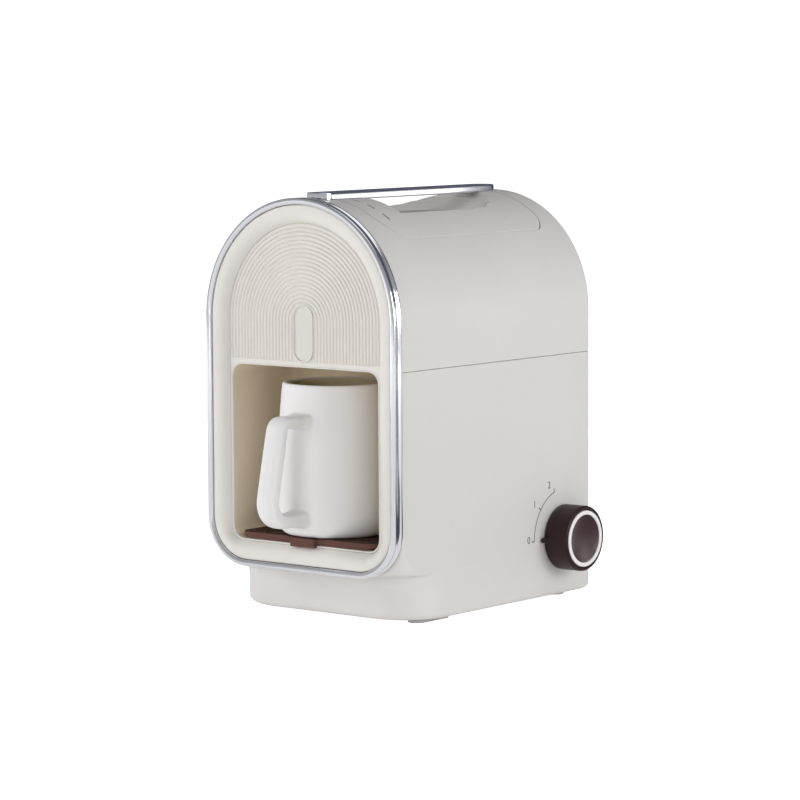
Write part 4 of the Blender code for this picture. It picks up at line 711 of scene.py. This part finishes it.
def under_the_lid():
    half = math.sqrt((HALF - WALL - FIT) ** 2 - (DECK - DOME) ** 2)
    deck = prism("deck", plan(half, SHELL_FRONT + WALL + FIT, REAR - WALL - FIT, 0.4, 0.4),
                 DECK - 2.5, DECK)
    holes = [lathe("hole_a", [(0, -9), (39.5, -9), (39.5, 9), (0, 9)], (0, BREW_Y, DECK)),
             lathe("hole_b", [(0, -9), (5.3, -9), (5.3, 9), (0, 9)], (0, 105.0, DECK), steps=48),
             prism("hole_c", tank_outline(FIT), DECK - 9, DECK + 9)]
    piece(cut(deck, *holes), "deck", nodes=["top_deck"], edge=0.35)

    low = DECK + FIT
    high = low + 1.5
    tank = loft("tank", [at_z(tank_outline(-1.2), 168.0), at_z(tank_outline(-0.3), 168.4),
                         at_z(tank_outline(), 169.4), at_z(tank_outline(), low),
                         at_z(tank_outline(2.4), low), at_z(tank_outline(2.6), low + 0.3),
                         at_z(tank_outline(2.5), high - 0.2), at_z(tank_outline(2.2), high),
                         at_z(tank_outline(-1.8), high), at_z(tank_outline(-2.0), high - 0.3),
                         at_z(tank_outline(-2.0), 171.5), at_z(tank_outline(-2.5), 170.4),
                         at_z(tank_outline(-4.0), 170.0)])
    join(tank, lathe("spigot", [(0, -8.0), (3.7, -8.0), (4.0, -7.6), (4.0, 1.0), (0, 1.0)],
                     (-25.0, 150.0, 168.0), steps=40))
    cut(tank, lathe("outlet", [(0, -12.0), (2.0, -12.0), (2.0, 4.0), (0, 4.0)],
                    (-25.0, 150.0, 168.0), steps=32))
    piece(tank, "tank", nodes=["water_tank"], sharp=40)

    radius, wall = 39.2, 1.8
    knee, floor, neck, spout = DECK - 27.9, DECK - 62.0, 13.2, 5.5
    tip = BAY_CEILING - 1.6
    basket = [(radius + 2.3, high), (radius + 2.6, high - 0.3), (radius + 2.6, low + 0.3),
              (radius + 2.3, low), (radius, low), (radius, knee + 1.0), (radius - 0.5, knee - 0.8),
              (neck + 0.8, floor + 0.6), (neck - 0.6, floor), (spout, floor), (spout, tip + 0.5),
              (spout - 0.4, tip), (2.9, tip), (2.75, floor + wall), (neck - 0.9, floor + wall),
              (radius - wall, knee + 0.9), (radius - wall, high - 0.3), (radius - wall + 0.3, high)]
    piece(lathe("basket", basket, (0.0, BREW_Y, 0.0)), "deck", nodes=["filter_basket"], sharp=40)

    outer, wall = 36.5, 1.2
    knee, floor = DECK - 26.1, DECK - 54.8
    sieve = [(0.0, floor + wall), (12.0, floor + wall), (outer - wall, knee + 0.6),
             (outer - wall, DECK - 3.0), (outer - wall - 0.4, DECK - 2.6),
             (outer - wall - 0.4, DECK - 0.3), (outer - 0.9, DECK), (outer - 0.2, DECK),
             (outer, DECK - 0.3), (outer, knee), (13.2, floor), (0.0, floor)]
    piece(lathe("sieve", sieve, (0.0, BREW_Y, 0.0)), "sieve", nodes=["permanent_filter"])

    bottom, top = DECK + 5.0, DECK + 9.0
    head = lathe("shower", [(0, bottom), (13.8, bottom), (15.0, bottom + 0.8), (15.0, top - 1.0),
                            (14.0, top), (0, top)], (0.0, BREW_Y, 0.0), steps=72)
    arm = block("arm", (-4.5, BREW_Y, bottom + FIT), (4.5, 105.0, top - FIT))
    stub = lathe("stub", [(0, DECK - 2.5), (5.0, DECK - 2.5), (5.0, top - 0.8), (4.2, top),
                          (0, top)], (0.0, 105.0, 0.0), steps=48)
    join(head, arm, stub)
    drips = [lathe(f"drip_{i}", [(0, -2.0), (0.7, -2.0), (0.7, 1.2), (0, 1.2)],
                   (8.5 * math.cos(a), BREW_Y + 8.5 * math.sin(a), bottom), steps=16)
             for i, a in enumerate(math.radians(45 * k) for k in range(8))]
    piece(cut(head, *drips), "silicone", nodes=["shower_head"], edge=0.25, segments=2)


def cord_gland():
    inner, flange, rear = REAR - WALL - 4.0, REAR + FIT, REAR + FIT + 2.0
    profile = [(3.2, rear - 0.4), (3.6, rear), (6.7, rear), (7.2, rear - 0.2), (7.5, rear - 0.7),
               (7.5, flange), (5.2, flange), (5.2, inner), (3.2, inner)]
    piece(lathe("gland", profile, (GLAND_X, 0.0, GLAND_Z), "Y", 64), "black_plastic",
          nodes=["cord_gland"], sharp=40)


# ---- knob ---------------------------------------------------------------------------------------
def knob():
    at = (0.0, KNOB_Y, KNOB_Z)
    back, face = KNOB_BACK, KNOB_FACE - 0.6
    seat = face - 3.0
    body = [(0.0, seat), (18.6, seat), (18.6, face - 0.2), (18.75, face)]
    body += [(19.8 + 1.5 * math.cos(a), face - 1.6 + 1.6 * math.sin(a))
             for a in (math.radians(90 - 15 * i) for i in range(7))]
    body += [(21.3, back + 4.0), (21.25, back + 0.5), (20.9, back), (3.3, back),
             (3.3, face - 5.4), (0.0, face - 5.4)]
    grip = lathe("knob_grip", body, at, "X", 120)
    tip, root = KNOB_Y - KNOB_R - 4.2, KNOB_Y - KNOB_R + 1.5

    def section(y, half, height):
        """A rounded hump, square on the side of the casing."""
        hump = arc((0.0, 0.0), 1.0, 0, 180, 12)
        base = back + 0.25
        return ([(base, y, KNOB_Z - half), (base, y, KNOB_Z + half)]
                + [(base + height * v ** 0.7, y, KNOB_Z + half * u)
                   for u, v in hump[1:-1]])

    pointer = loft("pointer", [section(tip, 0.5, 1.2), section(tip + 0.5, 1.1, 2.0),
                               section(tip + 1.6, 1.6, 2.7), section(tip + 3.6, 1.9, 4.6),
                               section(root - 0.7, 1.9, 8.6), section(root + 0.6, 1.8, 10.8)])
    join(grip, pointer)
    piece(grip, "knob", "knob", nodes=["knob_body"], sharp=35)

    ring = [(15.6, seat + FIT), (15.6, KNOB_FACE - 0.5), (15.75, KNOB_FACE - 0.15),
            (16.1, KNOB_FACE), (17.8, KNOB_FACE), (18.15, KNOB_FACE - 0.15),
            (18.3, KNOB_FACE - 0.5), (18.3, seat + FIT)]
    piece(lathe("knob_rim", ring, at, "X", 120), "dial_ring", "knob", nodes=["knob_ring"],
          sharp=50)
    cap = [(15.3 * i / 24, face - 2.2 * (1 - (i / 24) ** 2)) for i in range(25)]
    cap += [(15.3, seat + FIT), (0.0, seat + FIT)]
    piece(lathe("knob_dish", cap, at, "X", 120), "knob_cap", "knob", nodes=["knob_cap"], sharp=40)


def printed_scale():
    """A thin printed arc beside the knob, with three marks and plain numbers."""
    x = HALF + 0.02
    thick = 0.06
    radius, width = DIAL_RADIUS, DIAL_LINE

    def polar(r, degrees):
        a = math.radians(degrees)
        return (KNOB_Y - r * math.cos(a), KNOB_Z + r * math.sin(a))

    steps = 48
    outline = [polar(radius, DIAL_SWEEP * i / steps) for i in range(steps + 1)]
    outline += [polar(radius + width, DIAL_SWEEP * i / steps) for i in range(steps, -1, -1)]
    piece(prism("scale_arc", outline, x, x + thick, "X"), "print")
    for number, degrees in enumerate((0.0, 39.0, DIAL_SWEEP)):
        away = math.degrees(width / radius) / 2
        mark = [polar(radius + 0.2, degrees - away), polar(radius + 3.0, degrees - away),
                polar(radius + 3.0, degrees + away), polar(radius + 0.2, degrees + away)]
        piece(prism(f"scale_mark_{number}", mark, x, x + thick, "X"), "print")
        text = bpy.data.curves.new(f"digit_{number}", "FONT")
        text.body = str(number)
        text.size = 0.0066
        text.extrude = thick / 2000
        text.align_x, text.align_y = "CENTER", "CENTER"
        digit = bpy.data.objects.new(f"scale_digit_{number}", text)
        bpy.context.scene.collection.objects.link(digit)
        bpy.context.view_layer.update()
        graph = bpy.context.evaluated_depsgraph_get()
        mesh = bpy.data.meshes.new_from_object(digit.evaluated_get(graph))
        bpy.data.objects.remove(digit)
        digit = bpy.data.objects.new(f"scale_digit_{number}", mesh)
        bpy.context.scene.collection.objects.link(digit)
        y, z = polar(radius + 6.2, degrees)
        y, z = y - 2.0 * number, z + 1.2 - number
        facing = Matrix(((0, 0, 1), (1, 0, 0), (0, 1, 0))).to_4x4()
        mesh.transform(Matrix.Translation(to_world((x + thick / 2, y, z))) @ facing)
        piece(digit, "print")


# ---- mug ----------------------------------------------------------------------------------------
def mug():
    """A turned cup and a squarish ear, remeshed into one body, with its inside painted a darker tan
    as shade.
    """
    base, rim = MUG_BASE, MUG_BASE + MUG_HEIGHT
    belly = base + 15.0

    def radius(share):
        return MUG_BELLY + (MUG_RIM - MUG_BELLY) * share ** 1.6

    outside = [(radius(i / 24), belly + (rim - 1.5 - belly) * i / 24) for i in range(24, -1, -1)]
    outside += [(MUG_FOOT + (MUG_BELLY - MUG_FOOT) * math.cos(a), base + 15.0 * (1 - math.sin(a)))
                for a in (math.radians(6 * i) for i in range(1, 14))]
    outside += [(MUG_FOOT - 1.0, base), (MUG_FOOT - 3.0, base), (MUG_FOOT - 4.0, base + 0.8),
                (0.0, base + 0.8)]
    inside = [(0.0, base + 5.0), (18.0, base + 5.0), (25.0, base + 5.8), (30.5, base + 9.0)]
    inside += [(radius(i / 24) - MUG_WALL, belly + (rim - 1.5 - belly) * i / 24)
               for i in range(25)]
    centre = MUG_RIM - MUG_WALL / 2
    lip = [(centre - MUG_WALL / 2 * math.cos(a), rim - 1.5 + 1.5 * math.sin(a))
           for a in (math.radians(20 * i) for i in range(1, 9))]
    body = lathe("cup", inside + lip + outside, (0.0, MUG_Y, 0.0), steps=160)

    front = MUG_Y - MUG_BELLY - EAR_REACH
    corners = [(MUG_Y - MUG_RIM + 1.6, EAR_TOP, 0.0), (front + 13.0 + 5.0, EAR_TOP, 6.0),
               (front + 5.0, EAR_BOTTOM, 12.5), (MUG_Y - MUG_BELLY + 3.2, EAR_BOTTOM, 0.0)]
    path = smooth_corners(corners, 16)
    dense = []
    for a, b in zip(path, path[1:]):
        pieces_here = max(1, int((Vector(b) - Vector(a)).length / 2.0))
        dense += [Vector(a).lerp(Vector(b), k / pieces_here) for k in range(pieces_here)]
    dense.append(Vector(path[-1]))
    length = [0.0]
    for a, b in zip(dense, dense[1:]):
        length.append(length[-1] + (b - a).length)
    loops = []
    for i, p in enumerate(dense):
        ahead, behind = dense[min(i + 1, len(dense) - 1)], dense[max(i - 1, 0)]
        along = (ahead - behind).normalized()
        across = Vector((-along.y, along.x))
        share = length[i] / length[-1]
        bulge = math.sin(math.pi * min(1.0, max(0.0, (share - 0.12) / 0.7)))
        thick = 3.7 + 0.9 * min(1.0, share * 1.6) + 0.5 * bulge
        flare = math.exp(-max(0.0, min(length[i], length[-1] - length[i]) - 3.0) / 2.6)
        loop = []
        for k in range(32):
            a = 2 * math.pi * k / 32
            c, s = math.cos(a), math.sin(a)
            u = (7.0 + 2.6 * flare) * math.copysign(abs(c) ** 0.62, c)
            v = (thick + 1.2 * flare) * math.copysign(abs(s) ** 0.62, s)
            loop.append((u, p.x + across.x * v, p.y + across.y * v))
        loops.append(loop)
    join(body, loft("ear", loops))
    blend = body.modifiers.new("one clay body", "REMESH")
    blend.mode, blend.voxel_size = "VOXEL", 0.0006
    blend.use_smooth_shade = True
    smooth = body.modifiers.new("glaze", "SMOOTH")
    smooth.factor, smooth.iterations = 0.5, 14
    solve(body)
    body.data.materials.append(FINISH["ceramic"])
    piece(body, "ceramic", "mug", nodes=["mug"], sharp=60)
    # The faces inside the cup take the tan, as painted shade for the inside of the mug deep in the
    # bay.
    body.data.materials.append(FINISH["inside"])
    for polygon in body.data.polygons:
        c = polygon.center * 1000 - OFFSET
        low = max(0.0, 1 - (c.z - base) / 15.0)
        outer = (radius(min(1.0, (c.z - belly) / (rim - belly))) if c.z > belly
                 else MUG_FOOT + (MUG_BELLY - MUG_FOOT) * math.sqrt(max(0.0, 1 - low ** 2)))
        if math.hypot(c.x, c.y - MUG_Y) < outer - 2.4 and base + 3.0 < c.z < rim - 0.9:
            polygon.material_index = 1


for build in (lower_shell, upper_shell, underside, chrome_ring, front_bezel, ribbed_panel,
              badge_plate, bay_liner, drip_mat, top_lid, lid_handle, under_the_lid, cord_gland,
              knob, printed_scale, mug):
    build()

# Nodes with no detailed piece of their own keep their shape and take a finish.
SLOTS = {row["node"]: row["material_slot"] for row in frame["record"]["subparts"]}
for name, node in frame["nodes"].items():
    if not node.hide_render:
        node.data.materials.clear()
        node.data.materials.append(FINISH[SLOTS[name]])


# ---- stage --------------------------------------------------------------------------------------
def stage_material(name, colour, glow=0.0, spill=0.0):
    """A matt stage colour: its glow is what the camera sees, its spill is what it lights with."""
    made = bpy.data.materials.new(name)
    made.use_nodes = True
    tree = made.node_tree
    shader = tree.nodes["Principled BSDF"]
    shader.inputs["Base Color"].default_value = (*colour, 1.0)
    shader.inputs["Roughness"].default_value = 0.9
    shader.inputs["Specular IOR Level"].default_value = 0.0
    if glow:
        shader.inputs["Emission Color"].default_value = (1.0, 1.0, 1.0, 1.0)
        path = tree.nodes.new("ShaderNodeLightPath")
        power = tree.nodes.new("ShaderNodeMapRange")
        power.inputs["To Min"].default_value = spill
        power.inputs["To Max"].default_value = glow
        tree.links.new(path.outputs["Is Camera Ray"], power.inputs["Value"])
        tree.links.new(power.outputs["Result"], shader.inputs["Emission Strength"])
    return made


def stage_plane(name, corners, material):
    mesh = bpy.data.meshes.new(name)
    mesh.from_pydata(corners, [], [tuple(range(len(corners)))])
    mesh.materials.append(material)
    plane = bpy.data.objects.new(name, mesh)
    bpy.context.scene.collection.objects.link(plane)
    return plane


def softbox(name, position, aim, width, height, power, mirrored=True):
    light = bpy.data.lights.new(name, "AREA")
    light.shape, light.size, light.size_y, light.energy = "RECTANGLE", width, height, power
    lamp = bpy.data.objects.new(name, light)
    lamp.location = position
    lamp.rotation_euler = (Vector(aim) - Vector(position)).to_track_quat("-Z", "Y").to_euler()
    lamp.visible_glossy = mirrored
    bpy.context.scene.collection.objects.link(lamp)


def mirror_card(name, corners, colour, spill=0.0):
    """A card that only reflections see."""
    card = stage_plane(name, corners, stage_material(name, colour, spill, spill))
    card.visible_camera = card.visible_diffuse = card.visible_shadow = False
    card.visible_transmission = card.visible_volume_scatter = False


def studio():
    bpy.context.scene.view_settings.view_transform = "Standard"
    reach, navy = 12.0, (0.10, 0.105, 0.14)
    pale = stage_material("pale_floor", (0.80, 0.80, 0.80), glow=0.95, spill=0.25)
    stage_plane("floor", [(-reach, -reach, 0), (reach, -reach, 0), (reach, reach, 0),
                          (-reach, reach, 0)], pale)
    for name, y, (x0, x1), (z0, z1) in (("rear", 0.70, (-1.8, 0.42), (0.0, 1.6)),
                                        ("high", 0.70, (0.42, 0.95), (0.34, 1.6)),
                                        ("near", 0.35, (0.37, 0.65), (0.0, 0.185))):
        mirror_card(f"dark_card_{name}", [(x0, y, z0), (x1, y, z0), (x1, y, z1), (x0, y, z1)],
                    navy)
    mirror_card("dark_card_low", [(0.12, 0.0, 0.001), (0.65, 0.0, 0.001), (0.65, 0.35, 0.001),
                                  (0.12, 0.35, 0.001)], navy)
    mirror_card("bright_card", [(0.44, 0.68, 0.06), (0.8, 0.68, 0.06), (0.8, 0.68, 0.30),
                                (0.44, 0.68, 0.30)], (0.8, 0.8, 0.8), 0.9)
    world = bpy.data.worlds.new("studio")
    bpy.context.scene.world = world
    world.use_nodes = True
    tree = world.node_tree
    background = tree.nodes["Background"]
    background.inputs["Strength"].default_value = 1.0
    where = tree.nodes.new("ShaderNodeTexCoord")
    split = tree.nodes.new("ShaderNodeSeparateXYZ")
    ramp = tree.nodes.new("ShaderNodeValToRGB")
    tree.links.new(where.outputs["Generated"], split.inputs[0])
    tree.links.new(split.outputs["Z"], ramp.inputs["Fac"])
    ramp.color_ramp.elements[0].position = 0.0
    ramp.color_ramp.elements[0].color = (0.52, 0.52, 0.54, 1)
    ramp.color_ramp.elements[1].position = 0.8
    ramp.color_ramp.elements[1].color = (0.25, 0.25, 0.26, 1)
    tree.links.new(ramp.outputs["Color"], background.inputs["Color"])
    path = tree.nodes.new("ShaderNodeLightPath")
    white = tree.nodes.new("ShaderNodeBackground")
    white.inputs["Color"].default_value = (1, 1, 1, 1)
    white.inputs["Strength"].default_value = 1.1
    mix = tree.nodes.new("ShaderNodeMixShader")
    tree.links.new(path.outputs["Is Camera Ray"], mix.inputs[0])
    tree.links.new(background.outputs[0], mix.inputs[1])
    tree.links.new(white.outputs[0], mix.inputs[2])
    tree.links.new(mix.outputs[0], tree.nodes["World Output"].inputs["Surface"])
    softbox("key", (-2.1, -1.2, 0.8), (0.0, 0.0, 0.14), 0.7, 0.7, 21.0, mirrored=False)
    softbox("fill", (1.9, 0.45, 0.5), (0.0, 0.0, 0.14), 1.2, 0.9, 16.5)
    softbox("front", (0.15, -2.3, 0.35), (0.0, 0.0, 0.12), 1.0, 0.8, 16.0, mirrored=False)
    softbox("top", (0.3, 0.3, 1.9), (0.0, 0.0, 0.1), 1.4, 1.4, 5.0)


def camera():
    """A long lens, 2.23 m from the machine, seen from its front right and slightly above."""
    turn, rise, roll = math.radians(38.82), math.radians(5.65), math.radians(-0.31)
    back = Vector((math.sin(turn) * math.cos(rise), -math.cos(turn) * math.cos(rise),
                   math.sin(rise)))
    right = Vector((math.cos(turn), math.sin(turn), 0.0))
    up = back.cross(right)
    level_right, level_up = right, up
    right = math.cos(roll) * level_right + math.sin(roll) * level_up
    up = math.cos(roll) * level_up - math.sin(roll) * level_right
    target = to_world(Vector((0.0, 110.0, 130.76)) - 5.44 * level_right)
    data = bpy.data.cameras.new("camera")
    data.lens, data.sensor_width = 155.1, 36.0
    data.clip_end = 50.0
    eye = bpy.data.objects.new("camera", data)
    turned = Matrix((right, up, back)).transposed().to_4x4()
    eye.matrix_world = Matrix.Translation(target + back * 2.2338) @ turned
    bpy.context.scene.collection.objects.link(eye)
    bpy.context.scene.camera = eye


studio()
camera()
